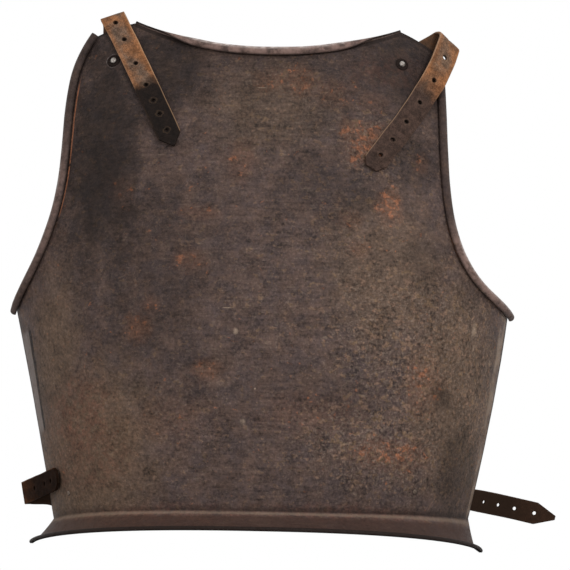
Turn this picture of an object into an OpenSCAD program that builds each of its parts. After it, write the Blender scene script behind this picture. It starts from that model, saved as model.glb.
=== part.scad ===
// Back plate of a cuirass with two shoulder straps and two waist straps.
// It stands upright on its hem: x runs to the right, y towards the wearer, z up.
// The outside of the plate faces -y, and x = 0 is the middle of the plate.

/* [Plate outline] */
// Height of the lowest point of the neck line
neck_height = 376.5; // [366:0.5:386]
// Half width of the neck line
neck_half = 105; // [97:1:110]
// How far the left neck corner rises over the neck line
neck_rise_left = 28; // [24:0.5:31]
// How far the right neck corner rises over the neck line
neck_rise_right = 26.5; // [23:0.5:29]
// How flat the neck line runs in its middle
neck_power = 2.3; // [2:0.1:3]
// Width of the short shoulder edge on the left, from the neck corner out
ledge_left = 31; // [28:0.5:35]
// Width of the short shoulder edge on the right
ledge_right = 28; // [26:0.5:31]
// How far the left shoulder corner lies below the left neck corner
shoulder_drop_left = 8.5; // [6:0.5:11]
// How far the right shoulder corner lies below the right neck corner
shoulder_drop_right = 13; // [10.5:0.5:15]
// Distance of the foot of the left armhole from the middle
chest_left = 195.5; // [192:0.5:199]
// Distance of the foot of the right armhole from the middle
chest_right = 195.5; // [192:0.5:199]
// Height of the foot of the left armhole
chest_left_height = 184; // [178:1:188]
// Height of the foot of the right armhole
chest_right_height = 187; // [178:1:190]
// Swell of the two short shoulder edges
shoulder_swell = 1; // [0:0.5:3]
// Half width of the waist on the left
waist_left = 161.5; // [158:0.5:166]
// Half width of the waist on the right
waist_right = 166; // [162:0.5:170]
// Swell of the left side edge, below zero for a hollow edge
bulge_left = -1; // [-3:0.5:3]
// Swell of the right side edge
bulge_right = 2; // [-3:0.5:4]
// Height of the waist crease in the middle
crease_height = 17; // [15:0.5:20]
// How much higher the crease ends on the left
crease_rise_left = 3; // [0:0.5:8]
// How much higher the crease ends on the right
crease_rise_right = 10; // [2:0.5:12]

/* [Armholes] */
// Reach of the left armhole curve at its foot
left_foot_pull = 105; // [90:1:115]
// Slope of the left armhole curve at its foot
left_foot_slope = 50; // [42:1:58]
// Reach of the left armhole curve at the shoulder
left_top_pull = 70; // [55:1:80]
// Slope of the left armhole curve at the shoulder
left_top_slope = 56; // [48:1:66]
// Reach of the right armhole curve at its foot
right_foot_pull = 78; // [66:1:88]
// Slope of the right armhole curve at its foot
right_foot_slope = 14; // [8:1:24]
// Reach of the right armhole curve at the shoulder
right_top_pull = 84; // [70:1:92]
// Slope of the right armhole curve at the shoulder
right_top_slope = 82; // [74:1:88]

/* [Plate hollow] */
// Depth that the cross curve would reach at its widest point
hollow = 138; // [120:1:145]
// Power of the cross curve: 2 is an ellipse, more is squarer
squareness = 2.4; // [2.2:0.05:2.6]
// How far the waist is set in behind the fullest point
waist_set = 22; // [16:1:26]
// How far the neck leans back behind the fullest point
neck_set = 18; // [12:1:24]
// Height of the fullest point of the middle line
full_height = 220; // [200:1:240]
// How fast the body curve narrows above the armhole foot
shoulder_taper = 0.00107; // [0.0009:0.00001:0.0012]

/* [Sheet, rolls and flange] */
// Thickness of the iron sheet
sheet = 1.4; // [1.2:0.1:1.6]
// Outside diameter of the rolled neck and armhole edges
roll_size = 6.8; // [6:0.1:7.4]
// How far round the rolled edges are turned
roll_turn = 280; // [250:5:285]
// Share of the neck line over which its roll fades out towards each corner
neck_fade = 0.26; // [0.2:0.01:0.3]
// Width of the flare of the waist flange in the middle
flare_middle = 16; // [12:0.5:20]
// Width of the flare at the left end
flare_left = 17; // [12:0.5:20]
// Width of the flare at the right end
flare_right = 10; // [9:0.5:16]
// Outside diameter of the turned hem
hem_size = 3.6; // [3.4:0.1:4]
// How far round the hem is turned
hem_turn = 265; // [240:5:270]
// Slope of the flange just above the hem
lip_slope = 37; // [30:1:44]

/* [Leather] */
// Width of the two shoulder straps
strap_width = 18.6; // [17:0.2:20]
// Width of the two waist straps
waist_width = 17.6; // [16.6:0.2:18.4]
// Thickness of the leather
strap_thick = 2.4; // [2:0.1:2.6]
// Space between the leather and the inside of the sheet
strap_gap = 0.6; // [0.5:0.1:0.8]
// Space between the leather and the outside of the sheet
drape_gap = 0.8; // [0.7:0.1:1]
// Space at the line where a strap bends
split_gap = 0.4; // [0.3:0.1:0.6]
// Radius of the punched holes
hole_radius = 1.4; // [1.2:0.1:1.7]
// Bevel along the edges of the leather
strap_bevel = 0.5; // [0.3:0.1:0.7]

/* [Rivets] */
// Radius of the shank of the two shoulder rivets
shoulder_shank = 1.5; // [1.3:0.1:1.8]
// Radius of the head of the two shoulder rivets
shoulder_head = 2.5; // [2.2:0.1:3]
// Radius of the shank of the two waist rivets
waist_shank = 1.1; // [0.9:0.1:1.3]
// Radius of the head of the two waist rivets
waist_head = 1.9; // [1.6:0.1:2.2]
// Radius of the washers
washer_radius = 5.4; // [4.5:0.1:6]
// Thickness of the washers
washer_thick = 0.8; // [0.6:0.1:1]
// Space between an inner washer and the leather
washer_gap = 0.3; // [0.3:0.1:0.5]

/* [Rivet places] */
// How far outside the neck corner the left shoulder rivet sits
left_shoulder_out = 16; // [14:0.5:18]
// How far inside the shoulder corner the right shoulder rivet sits
right_shoulder_in = 27.5; // [26:0.5:30]
// How far below the left shoulder corner the left rivet sits
left_shoulder_down = 24; // [22:0.5:26]
// How far below the right shoulder corner the right rivet sits
right_shoulder_down = 16.5; // [15:0.5:19]
// Left waist rivet from the side of the waist
left_waist_in = 14.5; // [13.5:0.5:17.5]
// Height of the left waist rivet
left_waist_height = 35; // [34:0.5:37]
// Right waist rivet from the side of the waist
right_waist_in = 47; // [45:0.5:50]
// Height of the right waist rivet
right_waist_height = 37.5; // [36:0.5:39]

/* [Left shoulder strap] */
// Slope of the line on which the strap folds over
left_fold_slope = 14; // [12:1:16]
// Angle between the strap and the square of its fold
left_fold_angle = 10.4; // [9:0.1:12]
// Straight length behind the plate before the loop
left_root_run = 35; // [34:0.5:37]
// Radius of the loop over the shoulder
left_loop_radius = 3.8; // [3.6:0.1:4.2]
// Length from the top of the loop to the tip
left_end_length = 129; // [120:0.5:134]

/* [Right shoulder strap] */
// Slope of the line on which the strap folds over
right_fold_slope = -39; // [-42:1:-37]
// Angle between the strap and the square of its fold
right_fold_angle = 10.1; // [9:0.1:12]
// Straight length behind the plate before the loop
right_root_run = 36.5; // [35:0.5:38]
// Radius of the loop over the shoulder
right_loop_radius = 6; // [5.9:0.1:6.4]
// Length that stands off the plate to clear the rolled edge
right_stand_off = 35; // [34:0.5:37]
// Length from the top of the loop to the tip
right_end_length = 136.5; // [130:0.5:140]
// Sideways shift of the tip towards the armhole
right_sway = 6.5; // [3:0.5:8]
// Bow of the strap towards the armhole
right_bow = 8; // [2:0.5:9]

/* [Waist straps] */
// Climb of the left strap from its rivet to the edge
left_waist_climb = 1; // [0:0.5:2]
// Climb of the right strap from its rivet to the edge
right_waist_climb = 3.5; // [2:0.5:5]
// Length of the left strap past the edge up to its fold
left_waist_reach = 32; // [30:0.5:34]
// Length of the left strap after its fold
left_waist_return = 64; // [60:0.5:66]
// Length of the right strap past the edge
right_waist_reach = 86; // [80:0.5:90]

/* [Hidden] */
cols = 36;
rows = 26;
foot_row = 10;
neck_col = 4;
roll_steps = 8;
hem_steps = 6;
edge_angle = 80;
edge_share = sin(edge_angle);
lip_length = 6;
crease_sag = 0.3;
land_lift = 0.54;
fn_small = 20;

iron = [0.25, 0.21, 0.19];
rivet_iron = [0.55, 0.52, 0.48];
leather = [0.3, 0.18, 0.1];

neck_corner_left = neck_height + neck_rise_left;
neck_corner_right = neck_height + neck_rise_right;
shoulder_left = neck_half + ledge_left;
shoulder_left_height = neck_corner_left - shoulder_drop_left;
shoulder_right = neck_half + ledge_right;
shoulder_right_height = neck_corner_right - shoulder_drop_right;
left_shoulder_x = neck_half + left_shoulder_out;
left_shoulder_z = shoulder_left_height - left_shoulder_down;
right_shoulder_x = shoulder_right - right_shoulder_in;
right_shoulder_z = shoulder_right_height - right_shoulder_down;
left_waist_x = waist_left - left_waist_in;
right_waist_x = waist_right - right_waist_in;

half_sheet = sheet / 2;
half_strap = strap_thick / 2;
inside_h = -(half_sheet + strap_gap + half_strap);
outside_h = half_sheet + drape_gap + half_strap;
roll_mid = (roll_size - sheet) / 2;
faded_mid = half_sheet + 0.4;
faded_turn = 100;
hem_mid = (hem_size - sheet) / 2;
seat_depth = 0.2;
seat_room = 0.4;
cut_depth = 8;
fit = 0.05;

// Small helpers

function unit(v) = v / norm(v);
function mix(p, q, t) = p * (1 - t) + q * t;
function clamp01(t) = min(1, max(0, t));

// The body curve that the sheet follows: side is -1 on the left and 1 on the right

function waist_half(side) = side < 0 ? waist_left : waist_right;
function bulge(side) = side < 0 ? bulge_left : bulge_right;
function crease_end(side) = crease_height + (side < 0 ? crease_rise_left : crease_rise_right);
function chest_half(side) = side < 0 ? chest_left : chest_right;
function chest_height(side) = side < 0 ? chest_left_height : chest_right_height;
function side_share(z, side) = (z - crease_end(side)) / (chest_height(side) - crease_end(side));
function side_half(z, side) = let (t = side_share(z, side))
    waist_half(side) + (chest_half(side) - waist_half(side)) * t + bulge(side) * 4 * t * (1 - t);
function side_slope(side) = (chest_half(side) - waist_half(side) - 4 * bulge(side))
    / (chest_height(side) - crease_end(side)) / edge_share;
function half_axis(z, side) = let (up = z - chest_height(side)) up <= 0
    ? side_half(z, side) / edge_share
    : chest_half(side) / edge_share + side_slope(side) * up - shoulder_taper * up * up;
function middle_y(z) = z < full_height
    ? waist_set * pow((full_height - z) / (full_height - crease_height), 2)
    : neck_set * pow((z - full_height) / (neck_height - full_height), 2);
function body_y(x, z) = let (u = abs(x) / half_axis(z, x < 0 ? -1 : 1))
    middle_y(z) + hollow * (1 - pow(1 - pow(u, squareness), 1 / squareness));
function body(x, z) = [x, body_y(x, z), z];
function body_normal(x, z, d = 0.2) = unit([
    (body_y(x + d, z) - body_y(x - d, z)) / (2 * d), -1,
    (body_y(x, z + d) - body_y(x, z - d)) / (2 * d)]);

// The four border lines of the sheet above the waist, as [x, z]

function crease_line(u) = let (side = u < 0.5 ? -1 : 1, t = abs(2 * u - 1))
    [side * waist_half(side) * sin(t * edge_angle) / edge_share,
        crease_height + (crease_end(side) - crease_height) * t * t];
neck_share = neck_col / cols;
left_neck = [-neck_half, neck_corner_left];
right_neck = [neck_half, neck_corner_right];
left_shoulder = [-shoulder_left, shoulder_left_height];
right_shoulder = [shoulder_right, shoulder_right_height];
function neck_line(t) = let (x = neck_half * (2 * t - 1))
    [x, neck_height + ((x < 0 ? neck_corner_left : neck_corner_right) - neck_height)
        * pow(abs(x) / neck_half, neck_power)];
function shoulder_line(from, to, t) = mix(from, to, t) + [0, shoulder_swell * 4 * t * (1 - t)];
function top_line(u) = u <= neck_share ? shoulder_line(left_shoulder, left_neck, u / neck_share)
    : u >= 1 - neck_share ? shoulder_line(right_neck, right_shoulder, (u - 1 + neck_share) / neck_share)
    : neck_line((u - neck_share) / (1 - 2 * neck_share));
function armhole(side, t) = let (
        foot = [side * chest_half(side), chest_height(side)],
        top = side < 0 ? left_shoulder : right_shoulder,
        foot_pull = side < 0 ? left_foot_pull : right_foot_pull,
        foot_slope = side < 0 ? left_foot_slope : right_foot_slope,
        top_pull = side < 0 ? left_top_pull : right_top_pull,
        top_slope = side < 0 ? left_top_slope : right_top_slope,
        p = foot + foot_pull * [-side * cos(foot_slope), sin(foot_slope)],
        q = top + top_pull * [side * cos(top_slope), -sin(top_slope)],
        w = 1 - t)
    foot * w * w * w + p * 3 * w * w * t + q * 3 * w * t * t + top * t * t * t;
function side_line(side, i) = i <= foot_row
    ? let (z = mix(crease_end(side), chest_height(side), i / foot_row))
        [side * side_half(z, side), z]
    : armhole(side, (i - foot_row) / (rows - foot_row));

// A point of the sheet in row i and column j, blended between the four borders

function sheet_xz(i, j) = let (u = j / cols, v = i / rows,
        low = crease_line(u), top = top_line(u),
        left = side_line(-1, i), right = side_line(1, i),
        corners = mix(mix(side_line(-1, 0), side_line(1, 0), u),
            mix(side_line(-1, rows), side_line(1, rows), u), v))
    mix(low, top, v) + mix(left, right, u) - corners;
function sheet_point(i, j) = let (q = sheet_xz(i, j)) body(q[0], q[1]);
function sheet_normal(i, j) = let (q = sheet_xz(i, j)) body_normal(q[0], q[1]);

// The flange and its hem, as steps [outward, height, normal outward, normal up]

function flare(u) = let (t = pow(abs(2 * u - 1), 3))
    flare_middle + ((u < 0.5 ? flare_left : flare_right) - flare_middle) * t;
lip_out = cos(lip_slope);
lip_down = sin(lip_slope);
function lip_step(u, k) = let (edge = [flare(u), land_lift],
        knee = edge + lip_length * [-lip_out, lip_down],
        crease = [0, crease_line(u)[1]])
    k == 2 ? edge : k == 1 ? knee : mix(crease, knee, 0.5) - crease_sag * [1, 1];
function step_normal(p, q) = let (d = unit(q - p)) [-d[1], d[0]];
function flange_row(u, k) = let (crease = [0, crease_line(u)[1]], p = lip_step(u, k),
        before = k == 0 ? crease : lip_step(u, k - 1),
        after = lip_step(u, min(k + 1, 2)),
        n = k == 2 ? [lip_down, lip_out] : unit(step_normal(before, p) + step_normal(p, after)))
    [p[0], p[1], n[0], n[1]];
function hem_row(u, k) = let (a = hem_turn * k / hem_steps, edge = [flare(u), land_lift],
        n = [lip_down, lip_out], e = [lip_out, -lip_down],
        p = edge + n * hem_mid * (1 - cos(a)) + e * hem_mid * sin(a),
        m = n * cos(a) - e * sin(a))
    [p[0], p[1], m[0], m[1]];
function crease_point(u) = let (q = crease_line(u)) body(q[0], q[1]);
function outward(u) = let (q = crease_line(u), n = body_normal(q[0], q[1])) unit([n[0], n[1], 0]);
function skirt_pair(u, row) = let (m = outward(u), c = crease_point(u),
        p = [c[0], c[1], 0] + m * row[0] + [0, 0, row[1]], n = m * row[2] + [0, 0, row[3]])
    [p, n];

// Every point of the sheet as [middle point, normal], block by block

skirt_rows = 3 + hem_steps;
function skirt_row(i, u) = i < hem_steps ? hem_row(u, hem_steps - i) : flange_row(u, 2 - (i - hem_steps));
function crease_normal(j) = let (u = j / cols, m = outward(u),
        s = step_normal([0, crease_line(u)[1]], lip_step(u, 0)))
    unit(sheet_normal(0, j) + m * s[0] + [0, 0, s[1]]);
function main_pair(i, j) = i < skirt_rows
    ? skirt_pair(j / cols, skirt_row(i, j / cols))
    : i == skirt_rows ? [sheet_point(0, j), crease_normal(j)]
    : [sheet_point(i - skirt_rows, j), sheet_normal(i - skirt_rows, j)];
main_rows = skirt_rows + rows;
foot_main = skirt_rows + foot_row;

function rolled(p, n, e, k, share = 1) = let (r = mix(faded_mid, roll_mid, share),
        a = mix(faded_turn, roll_turn, share) * k / roll_steps)
    [p + n * r * (1 - cos(a)) + e * r * sin(a), n * cos(a) - e * sin(a)];
function ease(t) = let (s = clamp01(t)) s * s * (3 - 2 * s);
function roll_share(j) = let (t = (j - neck_col) / (cols - 2 * neck_col))
    ease(min(t, 1 - t) / neck_fade);
function neck_pair(j, k) = let (p = sheet_point(rows, j), n = sheet_normal(rows, j),
        before = sheet_point(rows, max(j - 1, neck_col)),
        after = sheet_point(rows, min(j + 1, cols - neck_col)),
        e = unit(cross(n, after - before)))
    rolled(p, n, e, k, roll_share(j));
function arm_pair(side, i, k) = let (j = side < 0 ? 0 : cols, p = sheet_point(i, j), n = sheet_normal(i, j),
        before = sheet_point(max(i - 1, foot_row), j), after = sheet_point(min(i + 1, rows), j),
        e = unit(cross(after - before, n)) * side)
    rolled(p, n, e, k);

main_list = [for (i = [0:main_rows], j = [0:cols]) main_pair(i, j)];
neck_list = [for (j = [neck_col:cols - neck_col], k = [1:roll_steps]) neck_pair(j, k)];
left_arm_list = [for (i = [foot_row:rows], k = [1:roll_steps]) arm_pair(-1, i, k)];
right_arm_list = [for (i = [foot_row:rows], k = [1:roll_steps]) arm_pair(1, i, k)];
pair_list = concat(main_list, neck_list, left_arm_list, right_arm_list);
pair_count = len(pair_list);

function main_index(i, j) = i * (cols + 1) + j;
neck_start = len(main_list);
left_start = neck_start + len(neck_list);
right_start = left_start + len(left_arm_list);
function neck_index(j, k) = k == 0 ? main_index(main_rows, j)
    : neck_start + (j - neck_col) * roll_steps + k - 1;
function arm_index(side, i, k) = k == 0 ? main_index(skirt_rows + i, side < 0 ? 0 : cols)
    : (side < 0 ? left_start : right_start) + (i - foot_row) * roll_steps + k - 1;

// Quads of the sheet, turned so that their outside faces away from the wearer

main_quads = [for (i = [0:main_rows - 1], j = [0:cols - 1])
    [main_index(i, j), main_index(i + 1, j), main_index(i + 1, j + 1), main_index(i, j + 1)]];
neck_quads = [for (j = [neck_col:cols - neck_col - 1], k = [0:roll_steps - 1])
    [neck_index(j, k), neck_index(j, k + 1), neck_index(j + 1, k + 1), neck_index(j + 1, k)]];
left_arm_quads = [for (i = [foot_row:rows - 1], k = [0:roll_steps - 1])
    [arm_index(-1, i, k + 1), arm_index(-1, i + 1, k + 1), arm_index(-1, i + 1, k), arm_index(-1, i, k)]];
right_arm_quads = [for (i = [foot_row:rows - 1], k = [0:roll_steps - 1])
    [arm_index(1, i, k), arm_index(1, i + 1, k), arm_index(1, i + 1, k + 1), arm_index(1, i, k + 1)]];
quads = concat(main_quads, neck_quads, left_arm_quads, right_arm_quads);

// The free edge of the sheet, once round

border = concat(
    [for (i = [0:foot_main]) main_index(i, 0)],
    [for (k = [1:roll_steps]) arm_index(-1, foot_row, k)],
    [for (i = [foot_row + 1:rows]) arm_index(-1, i, roll_steps)],
    [for (k = [roll_steps - 1:-1:0]) arm_index(-1, rows, k)],
    [for (j = [1:neck_col]) main_index(main_rows, j)],
    [for (k = [1:roll_steps]) neck_index(neck_col, k)],
    [for (j = [neck_col + 1:cols - neck_col]) neck_index(j, roll_steps)],
    [for (k = [roll_steps - 1:-1:0]) neck_index(cols - neck_col, k)],
    [for (j = [cols - neck_col + 1:cols]) main_index(main_rows, j)],
    [for (k = [1:roll_steps]) arm_index(1, rows, k)],
    [for (i = [rows - 1:-1:foot_row]) arm_index(1, i, roll_steps)],
    [for (k = [roll_steps - 1:-1:0]) arm_index(1, foot_row, k)],
    [for (i = [foot_main - 1:-1:0]) main_index(i, cols)],
    [for (j = [cols - 1:-1:1]) main_index(0, j)]);

// The hem is levelled at the floor, which leaves a narrow land to stand on
function level(p) = [p[0], p[1], max(p[2], 0)];

module sheet_body() {
    outer = [for (q = pair_list) level(q[0] + q[1] * half_sheet)];
    inner = [for (q = pair_list) level(q[0] - q[1] * half_sheet)];
    n = pair_count;
    m = len(border);
    polyhedron(
        points = concat(outer, inner),
        faces = concat(
            [for (q = quads) each [[q[0], q[1], q[2]], [q[0], q[2], q[3]]]],
            [for (q = quads) each [[n + q[2], n + q[1], n + q[0]], [n + q[3], n + q[2], n + q[0]]]],
            [for (i = [0:m - 1]) let (a = border[i], b = border[(i + 1) % m])
                each [[b, a, n + a], [b, n + a, n + b]]]),
        convexity = 12);
}

// Puts children on the point p with their z axis along d

module stand(p, d) {
    t = unit(cross(abs(d[2]) < 0.9 ? [0, 0, 1] : [1, 0, 0], d));
    s = cross(d, t);
    multmatrix([[t[0], s[0], d[0], p[0]], [t[1], s[1], d[1], p[1]], [t[2], s[2], d[2], p[2]], [0, 0, 0, 1]])
        children();
}

module on_plate(x, z) {
    stand(body(x, z), body_normal(x, z)) children();
}

module shoulder_bore(x, z) {
    on_plate(x, z) {
        translate([0, 0, -cut_depth / 2]) cylinder(r = shoulder_shank + fit, h = cut_depth, $fn = fn_small);
        translate([0, 0, half_sheet - seat_depth])
            cylinder(r = washer_radius + seat_room, h = cut_depth, $fn = fn_small);
    }
}

module waist_bore(x, z) {
    on_plate(x, z) {
        translate([0, 0, -cut_depth / 2]) cylinder(r = waist_shank + fit, h = cut_depth, $fn = fn_small);
        translate([0, 0, half_sheet - seat_depth])
            cylinder(r = waist_head + seat_room, h = cut_depth, $fn = fn_small);
    }
}

module back_plate() {
    color(iron) difference() {
        sheet_body();
        shoulder_bore(-left_shoulder_x, left_shoulder_z);
        shoulder_bore(right_shoulder_x, right_shoulder_z);
        waist_bore(-left_waist_x, left_waist_height);
        waist_bore(right_waist_x, right_waist_height);
    }
}

// Rivets and washers, drawn on the axis of their bore with the outside at +z

under_plate = half_sheet + strap_gap + strap_thick + washer_gap;
shoulder_crown = 1.6;
waist_crown = 1.1;

module rivet_body(shank, head, top, crown, x, z) {
    back = under_plate + washer_thick;
    on_plate(x, z) rotate_extrude($fn = fn_small) polygon([
        [0, -back - crown * 0.8], [head * 0.55, -back - crown * 0.7], [head, -back - crown * 0.25],
        [head, -back], [shank, -back], [shank, top], [head, top], [head, top + crown * 0.25],
        [head * 0.86, top + crown * 0.6], [head * 0.55, top + crown * 0.88], [0, top + crown]]);
}

module washer_body(shank, foot, x, z) {
    on_plate(x, z) translate([0, 0, foot]) rotate_extrude($fn = fn_small)
        polygon([[shank + fit, 0], [washer_radius, 0], [washer_radius, washer_thick - 0.25],
            [washer_radius - 0.25, washer_thick], [shank + fit, washer_thick]]);
}

washer_foot = half_sheet - seat_depth;
back_foot = -under_plate - washer_thick;

module left_shoulder_rivet() {
    color(rivet_iron) rivet_body(shoulder_shank, shoulder_head, washer_foot + washer_thick, shoulder_crown,
        -left_shoulder_x, left_shoulder_z);
}

module right_shoulder_rivet() {
    color(rivet_iron) rivet_body(shoulder_shank, shoulder_head, washer_foot + washer_thick, shoulder_crown,
        right_shoulder_x, right_shoulder_z);
}

module left_waist_rivet() {
    color(rivet_iron) rivet_body(waist_shank, waist_head, washer_foot, waist_crown,
        -left_waist_x, left_waist_height);
}

module right_waist_rivet() {
    color(rivet_iron) rivet_body(waist_shank, waist_head, washer_foot, waist_crown,
        right_waist_x, right_waist_height);
}

module left_shoulder_washer() {
    color(iron) washer_body(shoulder_shank, washer_foot, -left_shoulder_x, left_shoulder_z);
}

module right_shoulder_washer() {
    color(iron) washer_body(shoulder_shank, washer_foot, right_shoulder_x, right_shoulder_z);
}

module left_shoulder_back_washer() {
    color(iron) washer_body(shoulder_shank, back_foot, -left_shoulder_x, left_shoulder_z);
}

module right_shoulder_back_washer() {
    color(iron) washer_body(shoulder_shank, back_foot, right_shoulder_x, right_shoulder_z);
}

module left_waist_back_washer() {
    color(iron) washer_body(waist_shank, back_foot, -left_waist_x, left_waist_height);
}

module right_waist_back_washer() {
    color(iron) washer_body(waist_shank, back_foot, right_waist_x, right_waist_height);
}

// A path of [length, turn] pieces, read at the distance along it: gives [along, out, heading]

function arc_step(p, a, d, turn) = abs(turn) < 0.01
    ? [p[0] + d * cos(a), p[1] + d * sin(a), a]
    : let (r = d / (turn * PI / 180))
        [p[0] + r * (sin(a + turn) - sin(a)), p[1] + r * (cos(a) - cos(a + turn)), a + turn];
function walk(path, d, p, a = 0, i = 0) =
    i >= len(path) ? arc_step(p, a, d, 0)
    : d <= path[i][0] ? arc_step(p, a, d, path[i][1] * d / path[i][0])
    : let (q = arc_step(p, a, path[i][0], path[i][1]))
        walk(path, d - path[i][0], [q[0], q[1]], q[2], i + 1);

// The section of a strap, as [across, through]

function strap_section(half, thick) = let (c = min(strap_bevel, half * 0.4),
        t = min(strap_bevel, thick * 0.5))
    [[-half, t - thick], [c - half, -thick], [-half / 3, -thick], [half / 3, -thick], [half - c, -thick],
        [half, t - thick], [half, thick - t], [half - c, thick], [half / 3, thick], [-half / 3, thick],
        [c - half, thick], [-half, thick - t]];

module ribbon(rings) {
    n = len(rings[0]);
    m = len(rings);
    polyhedron(
        points = [for (r = rings) each r],
        faces = concat(
            [for (k = [1:n - 2]) [0, k, k + 1]],
            [for (i = [0:m - 2], k = [0:n - 1]) let (a = i * n + k, b = i * n + (k + 1) % n)
                each [[a, a + n, b + n], [a, b + n, b]]],
            [for (k = [1:n - 2]) [(m - 1) * n, (m - 1) * n + k + 1, (m - 1) * n + k]]),
        convexity = 6);
}

// Shoulder straps: [rivet x, rivet z, fold slope, fold angle, root run, loop radius, path,
// length to the tip, sideways shift of the tip, bow]

into_length = 4;
out_length = 5;
function loop_path(run, radius, lean, stand_off, fall) = let (
        high = inside_h + radius * (1 + cos(lean)) - stand_off * sin(lean),
        into = arc_step([0, 0], lean, into_length, fall),
        out = arc_step([0, 0], lean + fall, out_length, -lean - fall),
        drop = (high - into[1] - out[1] - outside_h) / sin(lean + fall))
    [[run, 0], [radius * (180 + lean) * PI / 180, 180 + lean], [stand_off, 0], [into_length, fall],
        [drop, 0], [out_length, -lean - fall]];
function path_length(path, n) = n == 0 ? 0 : path[n - 1][0] + path_length(path, n - 1);

left_lean = 4;
left_stand_off = 6;
left_fall = 5;
right_lean = 1;
right_fall = 34;
left_path = loop_path(left_root_run, left_loop_radius, left_lean, left_stand_off, left_fall);
right_path = loop_path(right_root_run, right_loop_radius, right_lean, right_stand_off, right_fall);
left_strap = [-left_shoulder_x, left_shoulder_z, left_fold_slope, left_fold_angle, left_root_run,
    left_loop_radius, left_path, left_end_length, 0, 0];
right_strap = [right_shoulder_x, right_shoulder_z, right_fold_slope, right_fold_angle, right_root_run,
    right_loop_radius, right_path, right_end_length, right_sway, right_bow];

function crest_run(strap) = (strap[4] + strap[5] * PI / 2) / cos(strap[3]);
function tip_run(strap) = crest_run(strap) + strap[7];

bow_skew = 1.4;
bow_scale = 5.1;
function bow(strap, s) = let (t = clamp01((s - crest_run(strap)) / strap[7]))
    strap[8] * t + strap[9] * bow_scale * t * pow(1 - t, bow_skew);

// A point of a shoulder strap: s along it from the rivet, w across, n through
// Its rings run square to the strap where k = 0 and along the fold where k = 1

function shoulder_point(strap, s, w, n, k) = let (
        c = cos(strap[3]), d = sin(strap[3]), run = s + w * d / c * k,
        a = run * d + w * c + bow(strap, s), q = walk(strap[6], run * c - w * d, [0, inside_h]),
        b = q[0] - n * sin(q[2]), h = q[1] + n * cos(q[2]),
        x = strap[0] + a * cos(strap[2]) - b * sin(strap[2]),
        z = strap[1] + a * sin(strap[2]) + b * cos(strap[2]))
    body(x, z) + body_normal(x, z) * h;
function shoulder_ring(strap, s, half, k) =
    [for (q = strap_section(half, half_strap)) shoulder_point(strap, s, q[0], q[1], k)];
function shoulder_normal(strap, s, k) =
    unit(shoulder_point(strap, s, 0, 1, k) - shoulder_point(strap, s, 0, -1, k));

root_tail = 11;
tail_cut = 3;
square_run = 20;
half_width = strap_width / 2;

module shoulder_root(strap, shank) {
    bend = strap[4] / cos(strap[3]);
    last = crest_run(strap) - split_gap / 2;
    difference() {
        ribbon(concat(
            [shoulder_ring(strap, -root_tail, half_width - tail_cut, 0)],
            [for (i = [0:6]) let (s = mix(tail_cut - root_tail, bend, i / 6))
                shoulder_ring(strap, s, half_width, clamp01((s + root_tail) / square_run))],
            [for (i = [1:5]) shoulder_ring(strap, mix(bend, last, i / 5), half_width, 1)]));
        on_plate(strap[0], strap[1]) translate([0, 0, -cut_depth])
            cylinder(r = shank + fit, h = cut_depth, $fn = fn_small);
    }
}

module shoulder_end(strap, taper, tip_half, holes) {
    first = crest_run(strap) + split_gap / 2;
    over = (path_length(strap[6], 2)) / cos(strap[3]);
    flat = (path_length(strap[6], 6)) / cos(strap[3]);
    stop = tip_run(strap) - taper;
    difference() {
        ribbon(concat(
            [for (i = [0:5]) shoulder_ring(strap, mix(first, over, i / 5), half_width, 1)],
            [for (i = [1:8]) shoulder_ring(strap, mix(over, flat, i / 8), half_width, 1)],
            [for (i = [1:9]) shoulder_ring(strap, mix(flat, stop, i / 9), half_width, 1 - i / 9)],
            [shoulder_ring(strap, tip_run(strap), tip_half, 0)]));
        for (d = holes) let (s = tip_run(strap) - d, k = clamp01((stop - s) / (stop - flat)))
            stand(shoulder_point(strap, s, 0, 0, k), shoulder_normal(strap, s, k))
                cylinder(r = hole_radius, h = cut_depth, center = true, $fn = fn_small);
    }
}

left_holes = [14, 29, 41.5, 56.5, 77.5, 101.5, 118];
right_holes = [13.5, 30, 49.5, 70.5, 91.5, 114, 131];
left_taper = 9.6;
left_tip_half = 0.9;
right_taper = 7;
right_tip_half = 4.6;

module left_shoulder_strap_root() {
    color(leather) shoulder_root(left_strap, shoulder_shank);
}

module left_shoulder_strap_end() {
    color(leather) shoulder_end(left_strap, left_taper, left_tip_half, left_holes);
}

module right_shoulder_strap_root() {
    color(leather) shoulder_root(right_strap, shoulder_shank);
}

module right_shoulder_strap_end() {
    color(leather) shoulder_end(right_strap, right_taper, right_tip_half, right_holes);
}

// Waist straps follow the inside of the plate round to its side edge and then leave it on a path

leave_angle = 79;
half_waist = waist_width / 2;
function wrap_x(side, z, psi) = side * half_axis(z, side) * sin(psi);
function wrap_point(side, z, psi, h) = let (x = wrap_x(side, z, psi)) body(x, z) + body_normal(x, z) * h;
function rivet_angle(side, x, z) = asin(x / half_axis(z, side));
function wrap_run(side, z, from, n = 12) = let (d = (leave_angle - from) / n)
    [for (i = 0, s = 0; i <= n; s = s + norm(wrap_point(side, z, from + d * (i + 1), 0)
        - wrap_point(side, z, from + d * i, 0)), i = i + 1) s][n];

// Waist strap: [side, rivet x, rivet z, climb inside, path, slope at the edge, slope further out]

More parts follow.
